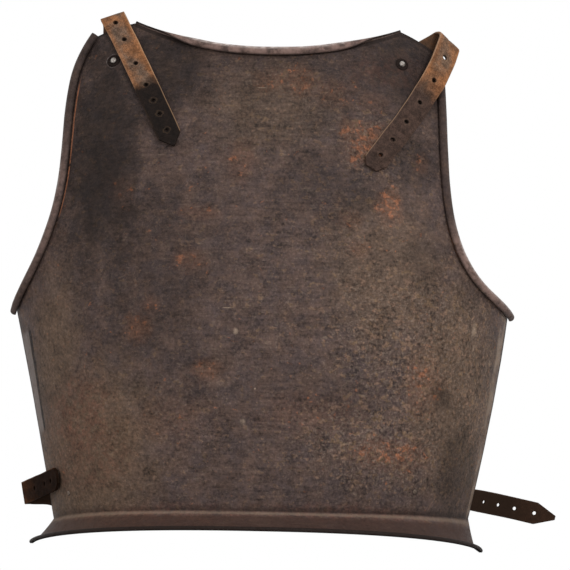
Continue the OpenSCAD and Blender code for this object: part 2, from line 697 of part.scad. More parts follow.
fold_length = 8.4;
edge_run = 3;
left_edge_turn = 8;
right_edge_turn = 7;
left_waist_path = [[edge_run, 0], [left_edge_turn, 34], [left_waist_reach - edge_run - left_edge_turn, 5],
    [fold_length, 159], [left_waist_return, 0]];
right_waist_path = [[edge_run, 0], [right_edge_turn, 33], [24, 12], [16, 22], [12, 10], [24, 2]];
left_waist = [-1, left_waist_x, left_waist_height, left_waist_climb, left_waist_path, 14, 9];
right_waist = [1, right_waist_x, right_waist_height, right_waist_climb, right_waist_path, 0.5, 0.5];

function inside_run(strap) = wrap_run(strap[0], strap[2], rivet_angle(strap[0], strap[1], strap[2]));
function edge_height(strap) = strap[2] + strap[3];
function edge_up(strap) = let (z = edge_height(strap), d = half_waist)
    unit(wrap_point(strap[0], z + d, leave_angle, 0) - wrap_point(strap[0], z - d, leave_angle, 0));
function edge_out(strap) = let (z = edge_height(strap), x = wrap_x(strap[0], z, leave_angle),
        up = edge_up(strap), n = body_normal(x, z))
    unit(n - up * (n * up));
function edge_along(strap) = cross(edge_up(strap), edge_out(strap)) * strap[0];

// A point of a waist strap: s along it from the side edge, w across, n through, ends skewed by k
// Before the edge s is below zero, and past it the slope eases from the first to the second

slope_from = 10;
slope_to = 32;
function slope_share(s) = ease((s - slope_from) / (slope_to - slope_from));
function waist_slope(strap, s) = mix(strap[5], strap[6], slope_share(s));
function waist_rise(strap, s) = s * tan(waist_slope(strap, s));
function waist_point(strap, s, w, n, k = 0) = s < 0
    ? let (run = inside_run(strap), from = rivet_angle(strap[0], strap[1], strap[2]),
        psi = leave_angle + s / run * (leave_angle - from),
        z = edge_height(strap) + strap[3] * s / run + w)
        wrap_point(strap[0], z, psi, inside_h + n)
    : let (slope = waist_slope(strap, s), c = s - w * tan(slope) * k, q = walk(strap[4], c, [0, inside_h]),
        foot = wrap_point(strap[0], edge_height(strap), leave_angle, 0),
        rise = waist_rise(strap, s) + w / cos(slope))
        foot + edge_up(strap) * rise + edge_along(strap) * (q[0] - n * sin(q[2]))
            + edge_out(strap) * (q[1] + n * cos(q[2]));
function waist_ring(strap, s, half, thick, k = 0) =
    [for (q = strap_section(half, thick)) waist_point(strap, s, q[0], q[1], k)];
function waist_normal(strap, s) = unit(waist_point(strap, s, 0, 1) - waist_point(strap, s, 0, -1));

left_fold_s = left_waist_reach + fold_length / 2;
right_bend_s = 30.5;
bend_hole = 22.8;
left_tip_cut = 4.5;
left_tip_run = 5;
right_tip_run = 16;
right_waist_tip = 1.7;

module waist_bore_cut(strap) {
    z = strap[2];
    x = strap[0] * strap[1];
    on_plate(x, z) translate([0, 0, -cut_depth])
        cylinder(r = waist_shank + fit, h = cut_depth, $fn = fn_small);
}

module waist_hole(strap, s) {
    stand(waist_point(strap, s, 0, 0), waist_normal(strap, s))
        cylinder(r = hole_radius, h = cut_depth, center = true, $fn = fn_small);
}

module left_waist_strap_root() {
    run = inside_run(left_waist);
    last = left_fold_s - split_gap / 2;
    color(leather) difference() {
        ribbon(concat(
            [waist_ring(left_waist, -run - root_tail, half_waist - tail_cut, half_strap)],
            [for (i = [0:11]) waist_ring(left_waist, mix(-run - root_tail + tail_cut, -0.5, i / 11),
                half_waist, half_strap)],
            [for (i = [0:8]) waist_ring(left_waist, mix(1, left_waist_reach, i / 8),
                half_waist, half_strap)],
            [for (i = [1:4]) waist_ring(left_waist, mix(left_waist_reach, last, i / 4),
                half_waist, half_strap)]));
        waist_bore_cut(left_waist);
    }
}

left_waist_holes = [12.5, 24, 43];

module left_waist_strap_end() {
    first = left_fold_s + split_gap / 2;
    arc_end = left_waist_reach + fold_length;
    tip = arc_end + left_waist_return;
    color(leather) difference() {
        ribbon(concat(
            [for (i = [0:4]) waist_ring(left_waist, mix(first, arc_end, i / 4), half_waist, half_strap)],
            [for (i = [1:6]) waist_ring(left_waist, mix(arc_end, tip - left_tip_run, i / 6),
                half_waist, half_strap, -i / 6)],
            [waist_ring(left_waist, tip, half_waist - left_tip_cut, half_strap, -1)]));
        for (d = left_waist_holes) waist_hole(left_waist, tip - d);
    }
}

right_waist_holes = [17.2, 33.7, 48.2];

module right_waist_strap_root() {
    run = inside_run(right_waist);
    color(leather) difference() {
        ribbon(concat(
            [waist_ring(right_waist, -run - root_tail, half_waist - tail_cut, half_strap)],
            [for (i = [0:14]) waist_ring(right_waist, mix(-run - root_tail + tail_cut, -0.5, i / 14),
                half_waist, half_strap)],
            [for (i = [0:7]) waist_ring(right_waist, mix(1, right_bend_s, i / 7), half_waist, half_strap)],
            [for (a = [30, 55, 80]) waist_ring(right_waist, right_bend_s + half_strap * sin(a),
                half_waist, half_strap * cos(a))]));
        waist_bore_cut(right_waist);
        waist_hole(right_waist, bend_hole);
    }
}

module right_waist_strap_end() {
    first = right_bend_s + half_strap + split_gap;
    color(leather) difference() {
        ribbon(concat(
            [for (i = [0:12]) waist_ring(right_waist, mix(first, right_waist_reach - right_tip_run, i / 12),
                half_waist, half_strap)],
            [waist_ring(right_waist, right_waist_reach, right_waist_tip, half_strap)]));
        for (d = right_waist_holes) waist_hole(right_waist, right_waist_reach - d);
    }
}

back_plate();
left_shoulder_strap_root();
left_shoulder_strap_end();
right_shoulder_strap_root();
right_shoulder_strap_end();
left_waist_strap_root();
left_waist_strap_end();
right_waist_strap_root();
right_waist_strap_end();
left_shoulder_rivet();
right_shoulder_rivet();
left_waist_rivet();
right_waist_rivet();
left_shoulder_washer();
right_shoulder_washer();
left_shoulder_back_washer();
right_shoulder_back_washer();
left_waist_back_washer();
right_waist_back_washer();
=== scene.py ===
"""Back plate of a cuirass with two shoulder straps and two waist straps.

The forged sheet, its rolled edges and waist flange, the four leather straps and their rivets are modelled
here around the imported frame. Lengths in the classes are in millimetres unless a name says otherwise; meshes
are in metres.
"""
import logging
import math
from collections.abc import Callable, Sequence
from dataclasses import dataclass
from enum import Enum
from functools import reduce
from operator import or_

import bmesh
import bpy
import numpy as np
from mathutils import Matrix, Vector, noise


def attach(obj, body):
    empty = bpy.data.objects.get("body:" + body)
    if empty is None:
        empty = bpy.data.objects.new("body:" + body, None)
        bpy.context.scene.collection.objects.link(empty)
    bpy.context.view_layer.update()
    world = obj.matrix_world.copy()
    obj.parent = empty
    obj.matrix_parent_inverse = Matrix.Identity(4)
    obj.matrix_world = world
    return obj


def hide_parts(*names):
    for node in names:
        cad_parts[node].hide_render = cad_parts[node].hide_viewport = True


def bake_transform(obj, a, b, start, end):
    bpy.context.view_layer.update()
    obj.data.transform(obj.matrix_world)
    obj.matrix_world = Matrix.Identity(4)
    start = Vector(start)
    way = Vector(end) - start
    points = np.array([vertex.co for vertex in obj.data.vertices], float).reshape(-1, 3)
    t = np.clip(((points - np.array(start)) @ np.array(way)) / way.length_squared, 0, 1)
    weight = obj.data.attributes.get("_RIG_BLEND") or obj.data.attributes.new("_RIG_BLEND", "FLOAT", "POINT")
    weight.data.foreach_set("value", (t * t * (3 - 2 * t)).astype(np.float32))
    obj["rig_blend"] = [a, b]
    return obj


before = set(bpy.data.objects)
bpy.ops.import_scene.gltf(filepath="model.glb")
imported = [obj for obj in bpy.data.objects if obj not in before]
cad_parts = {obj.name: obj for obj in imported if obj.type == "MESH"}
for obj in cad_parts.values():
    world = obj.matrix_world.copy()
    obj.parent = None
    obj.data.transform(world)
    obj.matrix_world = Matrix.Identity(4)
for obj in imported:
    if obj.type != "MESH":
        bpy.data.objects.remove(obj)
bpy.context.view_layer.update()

MM = 0.001
NEAR = 1e-5
SMALL_ANGLE = 50.0
INSIDE = -2.5
OUTSIDE = 2.7
TAIL = 11.0
LOG = logging.getLogger("back_plate")
Array = np.ndarray
Colour = tuple[float, float, float, float]
Row = tuple[Callable[[Array], Array], str, float]
Inputs = dict[str | int, object]
Pair = tuple[float, float]
Path = tuple[Pair, ...]
Piece = bpy.types.Object
Material = bpy.types.Material
NodeTree = bpy.types.NodeTree


class Side(Enum):
    """The two sides of the plate, as the viewer of its outside sees them."""

    LEFT = -1
    RIGHT = 1


def unit(v: Array) -> Array:
    """Gives vectors of length one along v."""
    return v / np.linalg.norm(v, axis=-1, keepdims=True)


def mix(a: Array, b: Array, t: Array) -> Array:
    """Gives the mix of a and b at t."""
    return a * (1 - t) + b * t


def smooth(t: Array) -> Array:
    """Gives a smooth step of t between 0 and 1."""
    t = np.clip(t, 0.0, 1.0)
    return t * t * (3 - 2 * t)


def ripple(points: Array, size: float, seed: float) -> Array:
    """Reads smooth noise at points.

    Args:
        points: Places in millimetres.
        size: Width of one swell in millimetres.
        seed: Shift of the noise that keeps patterns apart.

    Returns:
        One value from about -1 to 1 for each point.
    """
    shift = Vector((seed, seed * 1.7, -seed))
    return np.array([noise.noise(Vector(p) / size + shift) for p in points.tolist()])


@dataclass(frozen=True)
class PlateForm:
    """The body curve and the border lines that the sheet is cut to."""

    neck_height: float = 376.5
    neck_half: float = 105.0
    neck_corners: Pair = (404.5, 403.0)
    neck_power: float = 2.3
    ledges: Pair = (31.0, 28.0)
    shoulder_heights: Pair = (396.0, 390.0)
    shoulder_swell: float = 1.0
    chest_half: Pair = (195.5, 195.5)
    chest_heights: Pair = (184.0, 187.0)
    waist_half: Pair = (161.5, 166.0)
    bulge: Pair = (-1.0, 2.0)
    crease_height: float = 17.0
    crease_rise: Pair = (3.0, 10.0)
    foot_pull: Pair = (105.0, 78.0)
    foot_slope: Pair = (50.0, 14.0)
    top_pull: Pair = (70.0, 84.0)
    top_slope: Pair = (56.0, 82.0)
    hollow: float = 138.0
    squareness: float = 2.4
    waist_set: float = 22.0
    neck_set: float = 18.0
    full_height: float = 220.0
    taper: float = 0.00107
    edge_angle: float = 80.0
    foot_share: float = 10 / 26
    neck_share: float = 4 / 36
    sheet: float = 1.4

    def pick(self, pair: Pair, side: Array) -> Array:
        """Gives the left or the right value of a pair for each side."""
        return np.where(side < 0, pair[0], pair[1])

    def crease_end(self, side: Array) -> Array:
        """Gives the height at which the waist crease ends."""
        return self.crease_height + self.pick(self.crease_rise, side)

    def side_half(self, z: Array, side: Array) -> Array:
        """Gives the half width of the plate below the armhole."""
        low = self.crease_end(side)
        waist = self.pick(self.waist_half, side)
        t = (z - low) / (self.pick(self.chest_heights, side) - low)
        swell = self.pick(self.bulge, side) * 4 * t * (1 - t)
        return waist + (self.pick(self.chest_half, side) - waist) * t + swell

    def half_axis(self, z: Array, side: Array) -> Array:
        """Gives the half axis of the cross curve at a height."""
        share = math.sin(math.radians(self.edge_angle))
        chest = self.pick(self.chest_half, side)
        chest_z = self.pick(self.chest_heights, side)
        up = z - chest_z
        slope = chest - self.pick(self.waist_half, side) - 4 * self.pick(self.bulge, side)
        slope = slope / (chest_z - self.crease_end(side)) / share
        above = chest / share + slope * up - self.taper * up * up
        return np.where(up <= 0, self.side_half(z, side) / share, above)

    def middle_y(self, z: Array) -> Array:
        """Gives the depth of the middle line at a height."""
        up = z - self.full_height
        below = self.waist_set * (-up / (self.full_height - self.crease_height)) ** 2
        above = self.neck_set * (up / (self.neck_height - self.full_height)) ** 2
        return np.where(up < 0, below, above)

    def body(self, x: Array, z: Array) -> Array:
        """Gives points of the body curve as rows of x, y, z."""
        x, z = np.broadcast_arrays(np.asarray(x, float), np.asarray(z, float))
        u = np.clip(np.abs(x) / self.half_axis(z, np.where(x < 0, -1, 1)), 0, 0.99999)
        y = self.middle_y(z) + self.hollow * (1 - (1 - u ** self.squareness) ** (1 / self.squareness))
        return np.stack([x, y, z], -1)

    def normal(self, x: Array, z: Array, d: float = 0.2) -> Array:
        """Gives the normals of the body curve, away from the wearer."""
        dx = (self.body(x + d, z) - self.body(x - d, z))[..., 1] / (2 * d)
        dz = (self.body(x, z + d) - self.body(x, z - d))[..., 1] / (2 * d)
        return unit(np.stack([dx, -np.ones_like(dx), dz], -1))

    def crease_line(self, u: Array) -> Array:
        """Gives the waist crease as x, z for u from 0 to 1."""
        side = np.where(u < 0.5, -1, 1)
        t = np.abs(2 * u - 1)
        turn = np.sin(np.radians(t * self.edge_angle)) / math.sin(math.radians(self.edge_angle))
        x = side * self.pick(self.waist_half, side) * turn
        return np.stack([x, self.crease_height + self.pick(self.crease_rise, side) * t * t], -1)

    def top_line(self, u: Array) -> Array:
        """Gives the shoulder edges and the neck line as x, z."""
        share = self.neck_share
        t = np.clip((u - share) / (1 - 2 * share), 0, 1)
        x = self.neck_half * (2 * t - 1)
        rise = self.pick(self.neck_corners, x) - self.neck_height
        neck = np.stack([x, self.neck_height + rise * (np.abs(x) / self.neck_half) ** self.neck_power], -1)
        left, right = self.shoulder_corners()
        corners = [np.array([s * self.neck_half, z]) for s, z in zip((-1, 1), self.neck_corners)]
        p = np.clip(u / share, 0, 1)[:, None]
        q = np.clip((u - 1 + share) / share, 0, 1)[:, None]
        lift = np.array([0, 4 * self.shoulder_swell])
        low = mix(left, corners[0], p) + lift * p * (1 - p)
        high = mix(corners[1], right, q) + lift * q * (1 - q)
        return np.where((u <= share)[:, None], low, np.where((u >= 1 - share)[:, None], high, neck))

    def shoulder_corners(self) -> tuple[Array, Array]:
        """Gives the two outer corners of the shoulder edges."""
        return (np.array([-self.neck_half - self.ledges[0], self.shoulder_heights[0]]),
                np.array([self.neck_half + self.ledges[1], self.shoulder_heights[1]]))

    def side_line(self, side: Side, v: Array) -> Array:
        """Gives a side edge and its armhole as x, z for v from 0 to 1."""
        k = 0 if side is Side.LEFT else 1
        s = side.value
        low = float(self.crease_end(np.array(s)))
        z = mix(low, self.chest_heights[k], np.clip(v / self.foot_share, 0, 1))
        straight = np.stack([s * self.side_half(z, np.full_like(z, s)), z], -1)
        t = np.clip((v - self.foot_share) / (1 - self.foot_share), 0, 1)[:, None]
        foot = np.array([s * self.chest_half[k], self.chest_heights[k]])
        top = self.shoulder_corners()[k]
        a, b = math.radians(self.foot_slope[k]), math.radians(self.top_slope[k])
        p = foot + self.foot_pull[k] * np.array([-s * math.cos(a), math.sin(a)])
        q = top + self.top_pull[k] * np.array([s * math.cos(b), -math.sin(b)])
        w = 1 - t
        curve = foot * w ** 3 + 3 * p * w * w * t + 3 * q * w * t * t + top * t ** 3
        return np.where((v <= self.foot_share)[:, None], straight, curve)

    def sheet_xz(self, u: Array, v: Array) -> Array:
        """Gives sheet points as x, z, blended between the four borders."""
        low, top = self.crease_line(u), self.top_line(u)
        left, right = self.side_line(Side.LEFT, v), self.side_line(Side.RIGHT, v)
        ends = [self.side_line(side, np.array([e]))[0] for e in (0.0, 1.0) for side in Side]
        u, v = u[:, None], v[:, None]
        corners = mix(mix(ends[0], ends[1], u), mix(ends[2], ends[3], u), v)
        return mix(low, top, v) + mix(left, right, u) - corners

    def sheet_point(self, u: Array, v: Array) -> Array:
        """Gives sheet points as x, y, z."""
        q = self.sheet_xz(u, v)
        return self.body(q[:, 0], q[:, 1])

    def sheet_normal(self, u: Array, v: Array) -> Array:
        """Gives sheet normals."""
        q = self.sheet_xz(u, v)
        return self.normal(q[:, 0], q[:, 1])


def srgb(red: int, green: int, blue: int) -> Colour:
    """Gives the colour that a picture holds as red, green and blue from 0 to 255."""
    parts = [c / 255 for c in (red, green, blue)]
    linear = [c / 12.92 if c <= 0.04045 else ((c + 0.055) / 1.055) ** 2.4 for c in parts]
    return (linear[0], linear[1], linear[2], 1.0)


def activate(obj: Piece) -> None:
    """Leaves only obj selected and active."""
    if bpy.context.object and bpy.context.object.mode != "OBJECT":
        bpy.ops.object.mode_set(mode="OBJECT")
    bpy.ops.object.select_all(action="DESELECT")
    obj.hide_set(False)
    obj.select_set(True)
    bpy.context.view_layer.objects.active = obj


def name_piece(name: str) -> Piece:
    """Names the new active object and its mesh, and gives it back."""
    obj = bpy.context.object
    obj.name = name
    obj.data.name = name
    return obj


def settle() -> None:
    """Moves the place, turn and size of the active object into its mesh."""
    bpy.ops.object.transform_apply(location=True, rotation=True, scale=True)


def read_points(obj: Piece) -> Array:
    """Gives the vertices of a mesh in millimetres."""
    co = np.zeros(len(obj.data.vertices) * 3)
    obj.data.vertices.foreach_get("co", co)
    return co.reshape(-1, 3) / MM


def write_points(obj: Piece, points: Array) -> None:
    """Puts the vertices of a mesh at points in millimetres."""
    obj.data.vertices.foreach_set("co", (points * MM).ravel())
    obj.data.update()


def write_field(obj: Piece, name: str, values: Array) -> None:
    """Keeps one number for each vertex under a name that materials read."""
    layer = obj.data.attributes.get(name) or obj.data.attributes.new(name, "FLOAT", "POINT")
    layer.data.foreach_set("value", values.astype(np.float32))


def edit_all(obj: Piece) -> None:
    """Opens a piece for editing, with all of it selected."""
    activate(obj)
    bpy.ops.object.mode_set(mode="EDIT")
    bpy.ops.mesh.select_all(action="SELECT")


def face_out(obj: Piece) -> None:
    """Turns all faces of a piece the same way, outwards where it is closed."""
    edit_all(obj)
    bpy.ops.mesh.normals_make_consistent(inside=False)
    bpy.ops.object.mode_set(mode="OBJECT")


def drill(radius: float, low: float, high: float, sides: int, x: float = 0.0) -> Piece:
    """Adds an upright cylinder that cuts a bore.

    Args:
        radius: Radius of the bore.
        low: Height of its lower end.
        high: Height of its upper end.
        sides: Number of its sides.
        x: Place of its axis.

    Returns:
        The cylinder.
    """
    bpy.ops.mesh.primitive_cylinder_add(vertices=sides, radius=radius * MM, depth=(high - low) * MM,
                                        location=(x * MM, 0, (high + low) / 2 * MM))
    settle()
    return bpy.context.object


def apply_modifier(obj: Piece, kind: str, **values: object) -> None:
    """Adds a modifier with its values and applies it.

    Args:
        obj: The piece.
        kind: Blender's name for the modifier type.
        **values: Settings of the modifier.
    """
    activate(obj)
    modifier = obj.modifiers.new(kind.lower(), kind)
    for key, value in values.items():
        setattr(modifier, key, value)
    bpy.ops.object.modifier_apply(modifier=modifier.name)


def cut_away(obj: Piece, cutters: Sequence[Piece]) -> None:
    """Cuts the joined cutters out of a piece and removes them."""
    activate(cutters[0])
    for cutter in cutters[1:]:
        cutter.select_set(True)
    if len(cutters) > 1:
        bpy.ops.object.join()
    tool = bpy.context.object
    apply_modifier(obj, "BOOLEAN", operation="DIFFERENCE", object=tool, solver="EXACT")
    bpy.data.objects.remove(tool)


def shade(obj: Piece, angle: float) -> None:
    """Shades a piece smooth up to an angle in degrees."""
    activate(obj)
    bpy.ops.object.shade_smooth_by_angle(angle=math.radians(angle))


def stand(point: Array, axis: Array) -> Matrix:
    """Gives the matrix that puts z along axis at a point.

    Args:
        point: Place in millimetres.
        axis: Unit vector.

    Returns:
        The matrix, in metres.
    """
    turn = Vector(axis).to_track_quat("Z", "Y").to_matrix().to_4x4()
    return Matrix.Translation(Vector(point) * MM) @ turn


@dataclass
class BackPlate:
    """The forged iron sheet with its rolls, flange and turned hem."""

    form: PlateForm
    columns: int = 144
    rows: int = 130
    roll_size: float = 6.8
    roll_turn: float = 280.0
    roll_steps: int = 14
    neck_fade: float = 0.26
    faded_mid: float = 1.1
    faded_turn: float = 100.0
    flare_middle: float = 16.0
    flare_ends: Pair = (17.0, 10.0)
    hem_size: float = 3.6
    hem_turn: float = 265.0
    hem_steps: int = 11
    lip_slope: float = 37.0
    lip_length: float = 6.0
    land_lift: float = 0.54
    crease_sag: float = 0.3
    rim_round: float = 0.22
    swells: tuple[Pair, ...] = ((52.0, 0.32), (21.0, 0.14))
    calm: float = 16.0
    calm_foot: float = 12.0
    roll_swell: float = 27.0
    roll_seed: float = 3.1
    roll_loose: Pair = (0.05, 5.0)
    rim_angle: float = 65.0
    smooth_angle: float = 42.0
    knee: float = 0.7
    probe_half: float = 0.01
    probe_heights: Pair = (0.2, 0.25)
    flange_rows: tuple[float, ...] = (0.06, 0.16, 0.28, 0.4, 0.55, 0.7, 0.8, 0.9, 1.0)

    def build(self, calm_places: Sequence[Array]) -> Piece:
        """Shapes the sheet.

        Args:
            calm_places: Points at which the sheet keeps its true place, so that rivets seat on it.

        Returns:
            The finished piece, without its bores.
        """
        obj = self._grid()
        self._extrude(obj, lambda u, v: v < NEAR, self._flange_steps())
        share = self.form.neck_share - NEAR
        neck = self._roll_steps(self._neck_roll)
        self._extrude(obj, lambda u, v: v > 1 - NEAR and share < u < 1 - share, neck)
        foot = self.form.foot_share - NEAR
        for side, edge in ((Side.LEFT, 0.0), (Side.RIGHT, 1.0)):
            def at_armhole(u: float, v: float, edge: float = edge) -> bool:
                """Says whether a border vertex lies on this armhole."""
                return abs(u - edge) < NEAR and v > foot
            rows = self._roll_steps(lambda uv, k, s=side: self._arm_roll(s, uv, k))
            self._extrude(obj, at_armhole, rows)
        self._hammer(obj, calm_places)
        self._thicken(obj)
        shade(obj, self.smooth_angle)
        return obj

    def _grid(self) -> Piece:
        """Adds the grid and lays it on the body curve."""
        bpy.ops.object.select_all(action="DESELECT")
        bpy.ops.mesh.primitive_grid_add(x_subdivisions=self.columns, y_subdivisions=self.rows, size=1)
        obj = name_piece("plate_sheet")
        flat = read_points(obj) * MM
        u = np.round((flat[:, 0] + 0.5) * self.columns) / self.columns
        v = np.round((flat[:, 1] + 0.5) * self.rows) / self.rows
        write_points(obj, self.form.sheet_point(u, v))
        for name, values in (("u", u), ("v", v), ("turn", u * 0), ("lip", u * 0)):
            write_field(obj, name, values)
        return obj

    def _extrude(self, obj: Piece, chosen: Callable[[float, float], bool],
                 steps: Sequence[Row]) -> None:
        """Extrudes the chosen border edges, one row for each step.

        Args:
            obj: The sheet.
            chosen: Says from u and v whether a border vertex takes part.
            steps: For each row, where its vertices go, and the field and the value that they keep.
        """
        activate(obj)
        bpy.ops.object.mode_set(mode="EDIT")
        bpy.ops.mesh.select_mode(type="EDGE")
        bpy.ops.mesh.select_all(action="DESELECT")
        mesh = bmesh.from_edit_mesh(obj.data)
        u, v = mesh.verts.layers.float["u"], mesh.verts.layers.float["v"]
        for edge in mesh.edges:
            fresh = all(p[mesh.verts.layers.float["turn"]] == 0 for p in edge.verts)
            if edge.is_boundary and fresh and all(chosen(p[u], p[v]) for p in edge.verts):
                edge.select = True
        mesh.select_flush_mode()
        bmesh.update_edit_mesh(obj.data)
        for place, name, value in steps:
            bpy.ops.mesh.extrude_region_move()
            mesh = bmesh.from_edit_mesh(obj.data)
            u, v = mesh.verts.layers.float["u"], mesh.verts.layers.float["v"]
            layer = mesh.verts.layers.float[name]
            moved = [p for p in mesh.verts if p.select]
            points = place(np.array([(p[u], p[v]) for p in moved])) * MM
            for p, at in zip(moved, points):
                p.co = at
                p[layer] = value
            bmesh.update_edit_mesh(obj.data)
        bpy.ops.object.mode_set(mode="OBJECT")

    def _skirt(self, u: Array, out: Array, up: Array) -> Array:
        """Gives points below the crease, out from it and up from the floor."""
        crease = self.form.crease_line(u)
        base = self.form.body(crease[:, 0], crease[:, 1])
        n = self.form.normal(crease[:, 0], crease[:, 1]) * np.array([1, 1, 0])
        return base * np.array([1, 1, 0]) + unit(n) * out[:, None] + up[:, None] * np.array([0, 0, 1])

    def _flange_steps(self) -> list[Row]:
        """Gives the rows of the flange and of the hem under it."""
        slope = math.radians(self.lip_slope)
        along = np.array([math.cos(slope), -math.sin(slope)])
        square = np.array([math.sin(slope), math.cos(slope)])
        radius = (self.hem_size - self.form.sheet) / 2

        def edge(u: Array) -> Array:
            """Gives the edge of the flange as out, up."""
            ends = np.where(u < 0.5, self.flare_ends[0], self.flare_ends[1])
            out = self.flare_middle + (ends - self.flare_middle) * np.abs(2 * u - 1) ** 3
            return np.stack([out, np.full_like(u, self.land_lift)], -1)

        def flange(t: float) -> Callable[[Array], Array]:
            """Gives the placing of the flange row at t, 0 at the crease and 1 at the edge."""
            def place(uv: Array) -> Array:
                """Gives the points of the row."""
                u = uv[:, 0]
                end = edge(u)
                knee = end - self.lip_length * along
                crease = np.stack([u * 0, self.form.crease_line(u)[:, 1]], -1)
                if t > self.knee:
                    q = mix(knee, end, (t - self.knee) / (1 - self.knee))
                else:
                    s = t / self.knee
                    q = mix(crease, knee, s) - self.crease_sag * 4 * s * (1 - s)
                return self._skirt(u, q[:, 0], q[:, 1])
            return place

        def hem(k: int) -> Callable[[Array], Array]:
            """Gives the placing of the hem row k."""
            a = math.radians(self.hem_turn * k / self.hem_steps)
            shift = square * radius * (1 - math.cos(a)) + along * radius * math.sin(a)

            def place(uv: Array) -> Array:
                """Gives the points of the row."""
                q = edge(uv[:, 0]) + shift
                return self._skirt(uv[:, 0], q[:, 0], q[:, 1])
            return place

        rows = [(flange(t), "lip", t) for t in self.flange_rows]
        return rows + [(hem(k), "lip", 1 + k / self.hem_steps) for k in range(1, self.hem_steps + 1)]

    def _roll_steps(self, roll: Callable[[Array, int], Array]) -> list[Row]:
        """Gives the rows of a rolled edge."""
        return [(lambda uv, k=k: roll(uv, k), "turn", k / self.roll_steps)
                for k in range(1, self.roll_steps + 1)]

    def _rolled(self, p: Array, n: Array, e: Array, k: int, share: Array | float = 1.0) -> Array:
        """Gives points of a roll, turned outwards from the sheet.

        Args:
            p: Points of the sheet's border.
            n: Normals of the sheet there.
            e: Directions out of the sheet's border.
            k: Step of the roll.
            share: How full the roll is, from 0 where it fades out to 1.

        Returns:
            The points.
        """
        loose = ripple(p, self.roll_swell, self.roll_seed)
        full = (self.roll_size - self.form.sheet) / 2
        wider, open_by = self.roll_loose
        radius = mix(self.faded_mid, full * (1 + wider * loose), share)[:, None]
        turn = mix(self.faded_turn, self.roll_turn - open_by * np.abs(loose), share)[:, None]
        a = np.radians(turn * k / self.roll_steps)
        return p + n * radius * (1 - np.cos(a)) + e * radius * np.sin(a)

    def _neck_roll(self, uv: Array, k: int) -> Array:
        """Gives row k of the roll at the neck."""
        u, v, d = uv[:, 0], uv[:, 1], 1 / self.columns
        share = self.form.neck_share
        before = self.form.sheet_point(np.maximum(u - d, share), v)
        after = self.form.sheet_point(np.minimum(u + d, 1 - share), v)
        n = self.form.sheet_normal(u, v)
        t = (u - share) / (1 - 2 * share)
        full = smooth(np.minimum(t, 1 - t) / self.neck_fade)
        return self._rolled(self.form.sheet_point(u, v), n, unit(np.cross(n, after - before)), k, full)

    def _arm_roll(self, side: Side, uv: Array, k: int) -> Array:
        """Gives row k of the roll at an armhole."""
        u, v, d = uv[:, 0], uv[:, 1], 1 / self.rows
        before = self.form.sheet_point(u, np.maximum(v - d, self.form.foot_share))
        after = self.form.sheet_point(u, np.minimum(v + d, 1.0))
        n = self.form.sheet_normal(u, v)
        e = unit(np.cross(after - before, n)) * side.value
        return self._rolled(self.form.sheet_point(u, v), n, e, k)

    def _hammer(self, obj: Piece, calm_places: Sequence[Array]) -> None:
        """Gives the sheet the low swells of hammered iron."""
        points = read_points(obj)
        push = sum(depth * ripple(points, size, size) for size, depth in self.swells)
        for place in calm_places:
            push = push * smooth(np.linalg.norm(points - place, axis=1) / self.calm - 0.5)
        push = push * smooth(points[:, 2] / self.calm_foot)
        n = self.form.normal(points[:, 0], np.maximum(points[:, 2], self.form.crease_height))
        write_points(obj, points + n * push[:, None])

    def _thicken(self, obj: Piece) -> None:
        """Gives the sheet its thickness and rounds its cut rims."""
        face_out(obj)
        low, high = self.probe_heights
        middle = [p for p in obj.data.polygons
                  if abs(p.center.x) < self.probe_half and low < p.center.z < high]
        if middle[0].normal.y > 0:
            obj.data.flip_normals()
        count = len(obj.data.vertices)
        apply_modifier(obj, "SOLIDIFY", thickness=self.form.sheet * MM, offset=0, use_even_offset=True,
                       use_quality_normals=True)
        inner = np.zeros(len(obj.data.vertices))
        inner[count:] = 1
        points = read_points(obj)
        faces_out = points[:count, 1].mean() < points[count:, 1].mean()
        write_field(obj, "inner", inner if faces_out else 1 - inner)
        points[:, 2] = np.maximum(points[:, 2], 0)
        write_points(obj, points)
        apply_modifier(obj, "BEVEL", width=self.rim_round * MM, segments=2, limit_method="ANGLE",
                       angle_limit=math.radians(self.rim_angle), harden_normals=False)


@dataclass(frozen=True)
class FastenerForm:
    """Sizes of one rivet with its washers."""

    name: str
    x: float
    z: float
    shank: float
    head: float
    crown: float
    outer_washer: bool

    @property
    def washers(self) -> tuple[str, ...]:
        """Gives the names of the washers' nodes, the inner one first."""
        names = (f"{self.name}_back_washer", f"{self.name}_washer")
        return names if self.outer_washer else names[:1]


